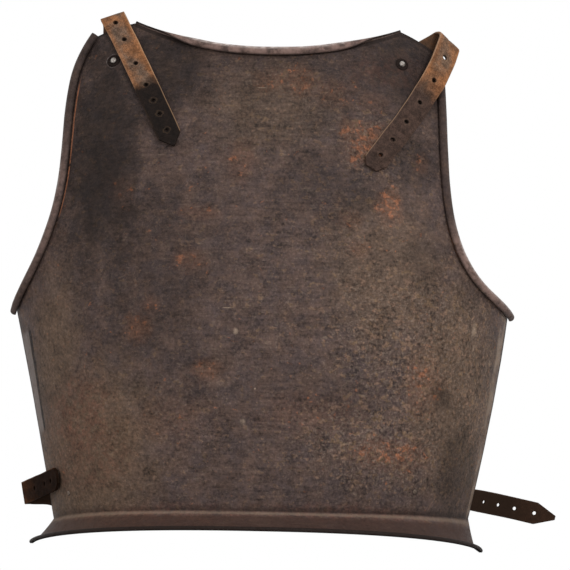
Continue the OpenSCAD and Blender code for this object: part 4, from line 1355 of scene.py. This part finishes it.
@dataclass(frozen=True)
class IronFinish:
    """Brown patinated iron with rust, pits, scratches and worn rims, with painted highlights on the rolls,
    the crease ridge and the side edges, and painted shade at the crease, rolls and hem.
    """

    slot: str = "patinated_iron"
    grey: Colour = srgb(73, 61, 59)
    brown: Colour = srgb(85, 68, 61)
    olive: Colour = srgb(103, 83, 65)
    rust: Colour = srgb(112, 78, 60)
    red: Colour = srgb(104, 68, 56)
    crumb: Colour = srgb(118, 94, 80)
    sand: Colour = srgb(112, 97, 86)
    orange: Colour = srgb(150, 98, 72)
    hazel: Colour = srgb(134, 110, 102)
    flange: Colour = srgb(60, 43, 37)
    # Pale dust on scratches, chips and specks, and also the colour of painted sheen and of the painted
    # highlight on the crease ridge.
    dust_and_sheen: Colour = srgb(160, 140, 122)
    # Worn iron, and on the rolls also the colour of the painted highlight.
    bare: Colour = srgb(190, 178, 172)
    # Pale grey of the painted reflection along the left side edge.
    sheen_grey: Colour = srgb(126, 116, 112)
    black: Colour = srgb(32, 24, 21)
    rust_places: tuple[Patch, ...] = patches(
        (25, 352, 17, 17, 0.8), (3, 352, 18, 13, 0.6), (52, 345, 24, 15, 0.5), (80, 301, 23, 23),
        (66, 312, 12, 14, 0.7), (96, 252, 13, 19, 0.9), (66, 240, 12, 9, 0.6), (121, 290, 8, 11, 0.6),
        (84, 338, 20, 14, 0.4), (-95, 154, 12, 14, 0.9), (-86, 172, 10, 9, 0.6), (-42, 122, 13, 12, 0.7),
        (-58, 206, 18, 12, 0.6), (-50, 243, 20, 8, 0.5), (-18, 285, 14, 20, 0.5), (125, 118, 20, 28, 0.6),
        (100, 64, 42, 16, 0.7), (72, 218, 12, 9, 0.5), (-110, 262, 12, 17, 0.4), (40, 90, 50, 20, 0.3),
        (-70, 84, 40, 20, 0.3))
    red_places: tuple[Patch, ...] = patches(
        (-138, 86, 34, 44, 0.8), (-130, 54, 44, 26, 0.6), (86, 300, 16, 14, 0.8), (60, 16, 120, 9, 0.7),
        (-75, 12, 110, 12, 0.7), (94, 366, 40, 20, 0.6))
    dark_places: tuple[Patch, ...] = patches(
        (112, 372, 66, 56, 0.85), (-126, 300, 44, 150), (-86, 366, 62, 62, 0.92), (113, 294, 26, 30, 0.66),
        (50, 266, 54, 44, 0.42), (80, 370, 48, 40, 0.62), (-97, 172, 50, 66, 0.42), (-40, 230, 44, 60, 0.12),
        (60, 330, 60, 30, 0.2), (-92, 215, 70, 110, 0.45), (-66, 130, 44, 60, 0.28), (138, 110, 11, 13, 0.7),
        (153, 58, 22, 48, 0.6), (60, 100, 40, 22, 0.2), (124, 212, 22, 24, 0.35), (40, 420, 300, 150, 0.5))
    olive_places: tuple[Patch, ...] = patches(
        (-132, 62, 66, 84, 0.95), (-160, 140, 26, 80, 0.7), (0, 330, 60, 44, 0.5), (96, 200, 60, 70, 0.6),
        (150, 120, 44, 110, 0.7))
    crumb_places: tuple[Patch, ...] = patches(
        (112, 150, 86, 84), (95, 72, 90, 50), (60, 235, 60, 44, 0.5), (10, 330, 70, 60, 0.5),
        (165, 110, 30, 120, 0.9), (86, 300, 44, 44, 0.8), (-60, 90, 60, 50, 0.3), (10, 180, 60, 60, 0.35))
    # Pale patches at the side edges: rubbed iron and painted grazing sheen.
    rubbed_and_sheen_places: tuple[Patch, ...] = patches(
        (164, 158, 6, 26, 0.9), (180, 130, 7, 34, 0.8), (172, 80, 8, 50, 0.5), (-169, 120, 6, 50, 0.4))
    chips: tuple[Patch, ...] = patches(
        (-27, 169, 4.5, 0.5), (-20, 151, 2.4, 2.8, 0.8), (-4.5, 108, 0.9, 0.9), (-13, 83, 2.6, 3.0, 0.5),
        (-4, 346, 4.5, 0.5), (48, 148, 2.4, 1.4, 0.5))

    def make(self, fx: Effects) -> Material:
        """Builds the material of the plate.

        Args:
            fx: The shared effects.

        Returns:
            The material.
        """
        material, g = new_material("iron_patina")
        at = g.value("TexCoord", output="Object")
        places = self._places(g, fx, at)
        colour = self._ground(g, at, places)
        colour, crusty = self._crusted(g, at, colour, places)
        pits = g.use(fx.pits, {"Vector": at, "Scale": 420.0, "Amount": 0.3})[0]
        colour = g.blend(pits * 0.6, colour, self.black)
        streaks = g.use(fx.streaks, {"Vector": at, "Scale": 70.0})[0]
        colour = g.blend(streaks * 0.2 | places["chips"] * 0.7, colour, self.dust_and_sheen)
        colour = g.vector("SCALE", {0: colour, "Scale": self._light(g, at, places)})
        # handled: zones of the rolls with rubbed iron and painted highlights.
        handled = self._rubbed_and_highlit(g)
        smeared = g.step(g.noise(at, 130.0, 6.0, 0.7), 0.36, 0.6, 0.2, 0.95)
        # Lighter tone on the rolls, partly rubbed iron and partly painted highlight in the highlit zones.
        rolled = g.band(g.field("turn"), 0.12, 0.9, 0.07) * smeared * (handled * 0.85 + 0.12)
        colour = g.blend(rolled, colour, self.hazel)
        colour = self._strip(g, at, colour)
        # worn: bare iron, and a painted highlight on the rolls' upper front.
        worn = self._bare_and_highlit(g, at, handled)
        colour = g.blend(worn, colour, self.bare)
        colour = self._lines(g, at, colour)
        colour = g.blend(g.field("inner") * (handled * -0.36 + 0.4), colour, self.black)
        rough = g.noise(at, 210.0, 4.0, 0.6) * 0.3 + 0.42 + crusty * 0.15 + worn * -0.22
        height = g.noise(at, 800.0, 4.0, 0.65) * 0.35 + g.noise(at, 150.0, 6.0, 0.66)
        height = height + pits * -0.9 + streaks * -0.2 + crusty * 0.3
        g.surface(colour, rough, 0.1, (0.7, 0.0009), height, worn * 0.55)
        return material

    def _places(self, g: Graph, fx: Effects, at: Value) -> dict[str, Value]:
        """Joins the patches of each kind into one mask.

        Args:
            g: The material's graph.
            fx: The shared effects.
            at: Object coordinates.

        Returns:
            The masks by their names.
        """
        torn = g.noise(at, 62.0, 6.0, 0.68) - 0.5
        masks = {}
        for name, group, broken in (("rust", self.rust_places, 1.6), ("red", self.red_places, 1.2),
                                    ("dark", self.dark_places, 1.2), ("olive", self.olive_places, 1.0),
                                    ("crumb", self.crumb_places, 1.2), ("rubbed", self.rubbed_and_sheen_places, 1.4),
                                    ("chips", self.chips, 0.9)):
            common = {"Vector": at, "Torn": torn, "Break": broken}
            spots = [g.use(fx.patch, common | p.inputs)[0] * p.strength for p in group]
            masks[name] = reduce(or_, spots)
        return masks

    def _ground(self, g: Graph, at: Value, places: dict[str, Value]) -> Value:
        """Gives the smooth ground of the patina, with its olive, red and rusty zones."""
        hue = g.step(g.noise(at, 75.0, 7.0, 0.7, 0.3), 0.36, 0.64)
        flake = g.step(g.noise(at, 180.0, 6.0, 0.7), 0.36, 0.6)
        colour = g.blend(hue, self.grey, self.brown)
        colour = g.blend(places["olive"] * 0.7, colour, self.olive)
        colour = g.blend(places["red"] * flake * 0.65, colour, self.red)
        return g.blend(places["rust"] * 0.6, colour, self.rust)

    def _light(self, g: Graph, at: Value, places: dict[str, Value]) -> Value:
        """Gives the fine unevenness of the tone, and the dark zones."""
        light = g.noise(at, 60.0, 8.0, 0.7) * 1.7 + 0.12
        light = light + (g.noise(at, 420.0, 5.0, 0.7) - 0.5) * (places["crumb"] * 1.2 + 2.3)
        light = light + (g.noise(g.stretch(at, (0.16, 1.0, 1.0)), 420.0, 3.0, 0.6) - 0.5) * 1.1
        return light * (places["dark"] * -0.7 + 1.0) | 0.12

    def _crust(self, g: Graph, at: Value, size: float, low: float, reach: float, zone: Value,
               ragged: float = 5.0, soft: float = 0.07) -> Value:
        """Gives the mask of crumbs, more of them where the zone is full.

        Args:
            g: The material's graph.
            at: Object coordinates.
            size: Scale of the noise.
            low: Level of the noise above which crumbs sit outside the zone.
            reach: How far the zone lowers that level.
            zone: Mask of the zone.
            ragged: Detail of the noise.
            soft: Width of the crumbs' soft edge.

        Returns:
            The mask.
        """
        edge = low - zone * reach
        return g.step(g.noise(at, size, ragged, 0.56), edge, edge + soft)

    def _crusted(self, g: Graph, at: Value, colour: Value, places: dict[str, Value]) -> tuple[Value, Value]:
        """Adds brown crumbs, rust flakes, and pale specks that are partly rubbed iron and partly painted
        sheen at the side edges.

        Args:
            g: The material's graph.
            at: Object coordinates.
            colour: Colour so far.
            places: Masks of the named zones.

        Returns:
            The colour, and the mask of all that stands proud.
        """
        zone = (g.noise(at, 30.0, 4.0, 0.6) * 1.6 - 0.5) * 0.5 | places["crumb"]
        fine = self._crust(g, at, 560.0, 0.56, 0.06, zone)
        coarse = self._crust(g, g.stretch(at, (0.85, 1.0, 1.0)), 240.0, 0.62, 0.09, zone, 2.0)
        flakes = self._crust(g, at, 200.0, 0.655, 0.19, places["rust"], 6.0, 0.1)
        # Pale drawn specks in these zones, which at the side edges also stand for painted grazing sheen.
        drawn = self._crust(g, g.stretch(at, (1.0, 1.0, 0.4)), 170.0, 0.7, 0.24, places["rubbed"], 6.0, 0.16)
        tone = g.blend(g.step(g.noise(at, 120.0, 3.0, 0.6), 0.4, 0.62), self.crumb, self.olive)
        share = places["crumb"] * 0.38 + 0.44
        hot = g.step(g.noise(at, 90.0, 4.0, 0.6), 0.35, 0.6, 0.35, 0.8)
        for mask, paint in ((fine * share * 0.7, self.sand), (coarse * share, tone),
                            (flakes * hot, self.orange), (drawn * 0.45, self.dust_and_sheen)):
            colour = g.blend(mask, colour, paint)
        return colour, fine | coarse | flakes | drawn

    def _rubbed_and_highlit(self, g: Graph) -> Value:
        """Gives the mask of the parts of the rolls that are painted lighter, partly as iron rubbed pale and
        partly as painted highlights where the light falls on them.
        """
        u, v = g.field("u"), g.field("v")
        neck = g.band(u, 0.17, 0.83, 0.08) * g.step(v, 0.99, 0.999)
        right = g.step(u, 0.99, 0.999) * g.band(v, 0.4, 0.62, 0.05)
        left = g.fall(u, 0.001, 0.01) * g.band(v, 0.42, 0.7, 0.08)
        return neck | right | left * 0.55

    def _bare_and_highlit(self, g: Graph, at: Value, handled: Value) -> Value:
        """Gives the mask of bare iron on the crowns of the rolls and the hem, which on the rolls' upper front
        is also a painted highlight.
        """
        rubbed = g.step(g.noise(g.stretch(at, (1.0, 1.0, 0.5)), 95.0, 7.0, 0.7), 0.4, 0.6)
        scuffed = g.step(g.noise(g.stretch(at, (0.5, 1.0, 1.0)), 520.0, 4.0, 0.6), 0.4, 0.62, 0.45, 1.2)
        # Upper front of each roll, where the light from above falls: bare iron and a painted highlight.
        crown = g.band(g.field("turn"), 0.36, 0.6, 0.1) * (handled * 0.8 + 0.2)
        hem = g.band(g.field("lip"), 0.98, 1.2, 0.06) * g.step(g.field("u"), 0.8, 0.96, 0.05, 0.5)
        return crown * scuffed * (rubbed * 0.6 + 0.4) | hem * rubbed

    def _strip(self, g: Graph, at: Value, colour: Value) -> Value:
        """Adds a painted reflection, a pale grey strip along the left side edge where the surroundings shine
        at a grazing angle, with its dark inner line.
        """
        u = (g.noise(at, 30.0, 3.0) - 0.5) * 0.006 + g.field("u")
        outside = g.fall(g.field("turn"), 0.0, 0.02) * g.fall(g.field("inner"), 0.2, 0.8)
        broken = g.step(g.noise(at, 110.0, 6.0, 0.65), 0.34, 0.52, 0.45, 1.0)
        reach = g.band(g.field("v"), 0.155, 0.335, 0.006) * outside * broken
        # Painted reflection: the pale strip outside the dark line.
        colour = g.blend(g.fall(u, 0.027, 0.031) * reach * 0.7, colour, self.sheen_grey)
        return g.blend(g.band(u, 0.03, 0.0385, 0.0015) * reach, colour, self.black)

    def _lines(self, g: Graph, at: Value, colour: Value) -> Value:
        """Adds the dark and pale lines at the crease, rims and rolls, and the rust beside the arm rolls; the
        dark lines above the crease, beside the rolls and in the hem are painted shade, and the pale band
        under the crease is a painted highlight.
        """
        u, v, turn, lip = (g.field(name) for name in ("u", "v", "turn", "lip"))
        flat = g.fall(turn, 0.0, 0.05) * g.fall(lip, 0.0, 0.04)
        armhole = g.step(v, 0.38, 0.4) * flat
        side = g.fall(v, 0.37, 0.39) * flat
        edge = abs(u - 0.5)
        # Painted shadow: a dark line on the sheet just above the crease, stronger towards the right.
        over = g.fall(g.noise(at, 90.0, 3.0) * 0.012 + v, 0.006, 0.02) * g.fall(lip, 0.0, 0.08)
        face = g.band(lip, 0.24, 0.9, 0.08) * 0.75
        # Painted highlight: a pale band on the rounded ridge just below the crease, where the light catches
        # it.
        under = g.band(lip, 0.07, 0.17, 0.05) * 0.28
        # Painted shade in the turn of the hem under the flange's edge.
        deep = g.band(lip, 1.2, 2.4, 0.05) * 0.9
        # Painted shadow: a dark line on the sheet beside the neck roll and inside the arm rolls, and painted
        # shade on the tucked-in end of each roll.
        beside = g.step(v, 0.9905, 0.9935) * flat | g.step(edge, 0.4895, 0.492) * armhole
        tucked_shade = (g.step(turn, 0.94, 1.0) | beside) * 0.75
        pale = g.band(u, 0.972, 0.993, 0.005) * side * 0.45 * g.step(g.noise(at, 70.0, 5.0), 0.35, 0.6)
        rim = g.step(edge, 0.493, 0.498) * side * 0.85
        wander = (g.noise(at, 45.0, 3.0) - 0.5) * 0.004 + u
        left = g.band(wander, 0.0125, 0.0165, 0.0012) * g.band(v, 0.54, 0.86, 0.03)
        right = g.band(wander, 0.9835, 0.9875, 0.0012) * g.band(v, 0.4, 0.62, 0.03) * 0.6
        thread = (left | right) * armhole * g.step(g.noise(at, 120.0, 4.0), 0.36, 0.5) * 0.9
        for mask, paint in ((over * (u * 0.5 + 0.3), self.black), (face, self.flange), (under, self.dust_and_sheen),
                            (deep, self.black), (tucked_shade, self.black), (pale, self.dust_and_sheen), (rim, self.black),
                            (thread, self.orange)):
            colour = g.blend(mask, colour, paint)
        return colour


@dataclass(frozen=True)
class RivetFinish:
    """Worn iron of the rivet heads, or the dark iron of the washers."""

    name: str
    slot: str
    base: Colour
    shade: Colour
    metal: float
    roughness: float
    shine: float = 0.5
    pit: Colour = (0.02, 0.013, 0.01, 1)

    def make(self, fx: Effects) -> Material:
        """Builds the material of a small iron piece."""
        material, g = new_material(self.name)
        at = g.value("TexCoord", output="Object")
        cloud = g.use(fx.mottle, {"Vector": at, "Scale": 420.0, "Sharp": 0.15})[0]
        pits = g.use(fx.pits, {"Vector": at, "Scale": 1500.0, "Amount": 0.35})[0]
        colour = g.blend(cloud * 0.8 + 0.1, self.base, self.shade)
        colour = g.blend(pits * 0.6, colour, self.pit)
        height = pits * -0.6 + g.noise(at, 1400.0, 3.0)
        metal = cloud * (-0.5 * self.metal) + self.metal
        g.surface(colour, cloud * 0.25 + self.roughness, self.shine, (0.5, 0.0003), height, metal)
        return material


@dataclass(frozen=True)
class LeatherFinish:
    """Old harness leather, worn pale where it is handled, with another tone towards the tip."""

    name: str
    slot: str
    tan: Colour
    grey: Colour
    dark: Colour
    edge: Colour
    dark_from: float
    dark_over: float
    shine: float = 0.1
    seed: float = 0.0
    pale_edge: float = 1.0
    fleck: Colour = (0.45, 0.4, 0.36, 1)
    crack: Colour = (0.3, 0.24, 0.2, 1)
    # bore: painted shade on the walls of the holes.
    bore: Colour = (0.01, 0.006, 0.004, 1)
    flesh: Colour = (0.03, 0.018, 0.012, 1)

    def make(self, fx: Effects) -> Material:
        """Builds the material of one strap."""
        material, g = new_material(self.name)
        flat = g.value("Attribute", output="Vector", attribute_name="flat")
        flat = g.vector("ADD", {0: flat, 1: (self.seed, 0, 0)})
        run, across, hole = g.field("run"), g.field("across"), g.field("hole")
        off_middle = abs(across)
        cloud = g.use(fx.mottle, {"Vector": flat, "Scale": 55.0, "Sharp": 0.14})[0]
        fleck = g.use(fx.mottle, {"Vector": flat, "Scale": 320.0, "Sharp": 0.2})[0]
        grain, cracks = g.use(fx.grain, {"Vector": flat, "Scale": 950.0})
        worn = (cloud * 0.75 + 0.2) * g.step(off_middle, 0.45, 0.9, 1.1, 0.45)
        shift = (g.noise(flat, 90.0, 4.0, 0.65) - 0.5) * 16.0
        dark = g.step(run + shift, self.dark_from - self.dark_over, self.dark_from + self.dark_over)
        colour = g.blend(dark, g.blend(worn, self.tan, self.grey), self.dark)
        nap = g.step(g.noise(g.stretch(flat, (0.5, 1.0, 1.0)), 1500.0, 3.0, 0.6), 0.35, 0.65, 0.72, 1.3)
        blotch = g.step(g.noise(flat, 170.0, 6.0, 0.7), 0.3, 0.7, 0.56, 1.34)
        colour = g.vector("SCALE", {0: colour, "Scale": nap * blotch})
        colour = g.blend(fleck * 0.4, colour, self.fleck, "MULTIPLY")
        colour = g.blend(cracks * 0.6, colour, self.crack, "MULTIPLY")
        rubbed = g.step(off_middle, 0.86, 0.99) * g.step(g.noise(flat, 120.0, 4.0, 0.6), 0.35, 0.6)
        # Painted highlight: a faint pale ring on the raised rim round each hole.
        ring = g.step(hole, 0.2, 0.4) * g.fall(hole, 0.5, 0.75)
        # The bore colour at each hole's wall is painted shade.
        for mask, paint in ((rubbed * (dark * -0.35 + 0.4), self.edge),
                            (g.step(across * self.pale_edge, 0.9, 0.97) * 0.45, self.edge),
                            (ring * 0.06, self.edge), (g.step(hole, 0.72, 0.95) * 0.85, self.bore)):
            colour = g.blend(mask, colour, paint)
        colour = g.blend(g.field("grain_side"), g.blend(0.75, colour, self.flesh), colour)
        height = cracks * -0.5 + grain + g.noise(flat, 130.0, 4.0, 0.6) * 0.9
        g.surface(colour, grain * 0.25 + 0.5, self.shine, (0.6, 0.0005), height)
        return material


@dataclass
class Studio:
    """The pale floor, the white surroundings, the soft lamps and the camera."""

    target: tuple[float, float, float] = (0.0, 50.0, 197.5)
    distance: float = 2000.0
    elevation: float = -12.0
    roll: float = 1.2
    pixel: float = 0.78
    frame_pixels: int = 570
    target_pixel: float = 263.0
    sensor: float = 36.0
    floor_size: float = 8.0
    floor_drop: float = -0.0002

    def build(self) -> None:
        """Makes the whole studio."""
        bpy.context.scene.view_settings.view_transform = "Standard"
        self._floor()
        self._world()
        self._lamps()
        self._camera()

    def _floor(self) -> None:
        """Lays the floor, which is only seen from above."""
        bpy.ops.object.select_all(action="DESELECT")
        bpy.ops.mesh.primitive_plane_add(size=self.floor_size, location=(0, 0, self.floor_drop))
        settle()
        floor = name_piece("floor")
        material, g = new_material("floor_paper")
        at = g.value("TexCoord", output="Object")
        tone = g.blend(g.noise(at, 3.0, 2.0), (0.82, 0.82, 0.81, 1), (0.86, 0.86, 0.855, 1))
        paper = g.value("BsdfPrincipled", {"Base Color": tone, "Roughness": 0.8})
        behind = g.value("NewGeometry", output="Backfacing")
        both = g.value("MixShader", {0: behind, 1: paper, 2: g.value("BsdfTransparent")})
        g.node("OutputMaterial", {0: both})
        floor.data.materials.append(material)

    def _world(self) -> None:
        """Sets white surroundings for what is seen and mirrored, and a softer light."""
        world = bpy.data.worlds.new("studio")
        bpy.context.scene.world = world
        world.use_nodes = True
        g = Graph(world.node_tree)
        rays = g.node("LightPath").outputs
        kinds = ("Is Camera Ray", "Is Glossy Ray", "Is Transmission Ray")
        seen = reduce(or_, [Value(g, rays[kind]) for kind in kinds])
        back = g.value("Background", {"Color": (1, 1, 1, 1), "Strength": seen * 0.55 + 0.45})
        g.node("OutputWorld", {0: back})

    def _lamps(self) -> None:
        """Hangs three soft lamps."""
        aim = Vector(self.target) * MM
        for name, place, size, power in (("key", (1.4, -2.3, 1.3), 1.2, 42.0),
                                         ("fill", (-2.0, -1.9, 0.7), 1.6, 15.0),
                                         ("top", (0.0, -0.6, 2.6), 1.5, 10.0)):
            data = bpy.data.lights.new(name, "AREA")
            data.size = size
            data.energy = power
            lamp = bpy.data.objects.new(name, data)
            bpy.context.scene.collection.objects.link(lamp)
            lamp.location = place
            lamp.rotation_euler = (aim - Vector(place)).to_track_quat("-Z", "Y").to_euler()

    def _camera(self) -> None:
        """Sets the camera at the photograph's angle."""
        data = bpy.data.cameras.new("camera")
        focal = self.distance / self.pixel
        data.lens = focal / self.frame_pixels * self.sensor
        data.sensor_width = self.sensor
        data.shift_x = (self.frame_pixels / 2 - self.target_pixel) / self.frame_pixels
        data.clip_start = 0.05
        camera = bpy.data.objects.new("camera", data)
        bpy.context.scene.collection.objects.link(camera)
        a = math.radians(self.elevation)
        aim = Vector(self.target) * MM
        camera.location = aim + Vector((0, -math.cos(a), math.sin(a))) * self.distance * MM
        look = (aim - camera.location).to_track_quat("-Z", "Y").to_matrix()
        camera.rotation_euler = (look @ Matrix.Rotation(math.radians(self.roll), 3, "Z")).to_euler()
        bpy.context.scene.camera = camera


def shoulder_strap(form: PlateForm, side: Side) -> ShoulderStrap:
    """Gives the sizes of one shoulder strap, not yet built."""
    if side is Side.LEFT:
        skew, radius, run, length = 10.4, 3.8, 35.0, 129.0
        path = loop_path(run, radius, 4.0, 6.0, 5.0, INSIDE, OUTSIDE)
        parting = Parting((-0.397, -0.649, 0.649), -1.13, 1.4, 6.5)
        values = dict(x=-121.0, z=372.0, slope=14.0, holes=(14, 29, 41.5, 56.5, 77.5, 101.5, 118),
                      tip_half=0.9, seed=1.3)
        taper = 9.6
    else:
        skew, radius, run, length = 10.1, 6.0, 36.5, 136.5
        path = loop_path(run, radius, 1.0, 35.0, 34.0, INSIDE, OUTSIDE)
        parting = Parting((0.683, -0.725, -0.093), 3.19, 1.2)
        bends = (Bend(48.0, 0.35, 2.0), Bend(58.0, 0.25, 1.6))
        values = dict(x=105.5, z=373.5, slope=-39.0, holes=(13.5, 30, 49.5, 70.5, 91.5, 114, 131),
                      tip_half=4.6, sway=6.5, bow=8.0, seed=7.7, bends=bends)
        taper = 7.0
    c = math.cos(math.radians(skew))
    crest = (run + radius * math.pi / 2) / c
    flat_from = sum(part[0] for part in path) / c
    return ShoulderStrap(form=form, name=f"{side.name.lower()}_shoulder_strap", start=-TAIL,
                         tip=crest + length, half=9.3, stop=crest + length - taper, bore=0.0,
                         bore_radius=1.55, crest=crest, fine_half=3.0, parting=parting, skew=skew, path=path,
                         flat_from=flat_from, **values)


def waist_strap(form: PlateForm, side: Side) -> WaistStrap:
    """Gives the sizes of one waist strap, not yet built."""
    common = dict(form=form, name=f"{side.name.lower()}_waist_strap", start=0.0, half=8.8, bore=0.0,
                  bore_radius=1.15, side=side)
    if side is Side.LEFT:
        path = ((3.0, 0.0), (8.0, 34.0), (21.0, 5.0), (8.4, 159.0), (64.0, 0.0))
        tip = 104.4
        parting = Parting((-0.846, -0.476, -0.238), -0.67, 1.5)
        strap = WaistStrap(tip=tip, stop=tip - 5.0, tip_half=4.3, holes=(12.5, 24, 43), crest=36.2,
                           fine_half=4.0, parting=parting, x=147.0, z=35.0, climb=1.0, path=path,
                           slopes=(14.0, 9.0), skew_from=40.4, seed=4.1, **common)
    else:
        path = ((3.0, 0.0), (7.0, 33.0), (24.0, 12.0), (16.0, 22.0), (12.0, 10.0), (24.0, 2.0))
        tip = 86.0
        parting = Parting((0.707, 0.707, -0.033), -0.57, 4.2)
        strap = WaistStrap(tip=tip, stop=tip - 16.0, tip_half=1.7, holes=(17.2, 33.7, 48.2, 63.2), crest=30.5,
                           fine_half=8.0, parting=parting, x=119.0, z=37.5, climb=3.5, path=path, seed=9.9,
                           **common)
    strap.bore = -strap.run_inside
    strap.start = strap.bore - TAIL
    return strap


FASTENERS = (
    FastenerForm("left_shoulder", -121.0, 372.0, 1.5, 2.5, 1.6, True),
    FastenerForm("right_shoulder", 105.5, 373.5, 1.5, 2.5, 1.6, True),
    FastenerForm("left_waist", -147.0, 35.0, 1.1, 1.9, 1.1, False),
    FastenerForm("right_waist", 119.0, 37.5, 1.1, 1.9, 1.1, False))
BRIGHT = RivetFinish("rivet_iron", "rivet_iron", (0.42, 0.39, 0.36, 1), (0.1, 0.075, 0.06, 1), 0.85, 0.36)
DULL = RivetFinish("washer_iron", "washer_iron", (0.02, 0.014, 0.012, 1), (0.011, 0.008, 0.007, 1), 0.0, 0.6,
                   0.02)
RUSTY = RivetFinish("rivet_iron_rusty", "rivet_iron", (0.24, 0.19, 0.155, 1), (0.07, 0.045, 0.032, 1), 0.4,
                    0.5, 0.2)
TAN = srgb(144, 95, 59)
LEATHERS = {
    "left_shoulder": LeatherFinish("leather_left_shoulder", "shoulder_leather", TAN, srgb(106, 86, 72),
                                   srgb(24, 16, 12), srgb(172, 136, 104), 70.0, 6.0, seed=0.3),
    "right_shoulder": LeatherFinish("leather_right_shoulder", "shoulder_leather", TAN, srgb(106, 84, 68),
                                    srgb(66, 50, 43), srgb(160, 128, 102), 52.0, 12.0, seed=0.9,
                                    pale_edge=-1.0),
    "left_waist": LeatherFinish("leather_left_waist", "waist_leather", srgb(72, 44, 26), srgb(52, 33, 22),
                                srgb(34, 21, 14), srgb(110, 70, 46), 20.0, 12.0, 0.02, 1.7),
    "right_waist": LeatherFinish("leather_right_waist", "waist_leather", srgb(24, 13, 9), srgb(30, 18, 12),
                                 srgb(66, 42, 30), srgb(104, 76, 58), 24.0, 8.0, 0.02, 2.4)}


def dress(obj: Piece, material: Material) -> None:
    """Gives a piece its material."""
    obj.data.materials.clear()
    obj.data.materials.append(material)
    LOG.info("%s: %d vertices, %d faces", obj.name, len(obj.data.vertices), len(obj.data.polygons))


def main() -> None:
    """Builds the object and its studio."""
    logging.basicConfig(level=logging.INFO, format="%(name)s %(message)s")
    fx = Effects()
    form = PlateForm()
    fasteners = [Fastener(form, size) for size in FASTENERS]
    plate = BackPlate(form)
    sheet = plate.build([f.point for f in fasteners])
    cut_away(sheet, [tool for f in fasteners for tool in f.cutters()])
    shade(sheet, plate.smooth_angle)
    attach(sheet, "plate")
    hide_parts("back_plate")
    iron = IronFinish()
    dress(sheet, iron.make(fx))
    materials = {finish: finish.make(fx) for finish in (BRIGHT, DULL, RUSTY)}
    for fastener in fasteners:
        for piece, node in fastener.build():
            finish = DULL
            if "rivet" in node:
                finish = BRIGHT if "shoulder" in node else RUSTY
            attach(piece, "plate")
            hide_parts(node)
            dress(piece, materials[finish])
    for side in Side:
        for label, strap in (("shoulder", shoulder_strap(form, side)), ("waist", waist_strap(form, side))):
            key = f"{side.name.lower()}_{label}"
            piece, *tails = strap.build()
            start, end = strap.hinge
            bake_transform(piece, f"{key}_root", f"{key}_end", start=start, end=end)
            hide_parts(f"{key}_strap_root", f"{key}_strap_end")
            for tail in tails:
                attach(tail, f"{key}_end")
                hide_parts(f"{key}_strap_end")
            leather = LEATHERS[key].make(fx)
            for part in (piece, *tails):
                dress(part, leather)
    Studio().build()


if __name__ == "__main__":
    main()
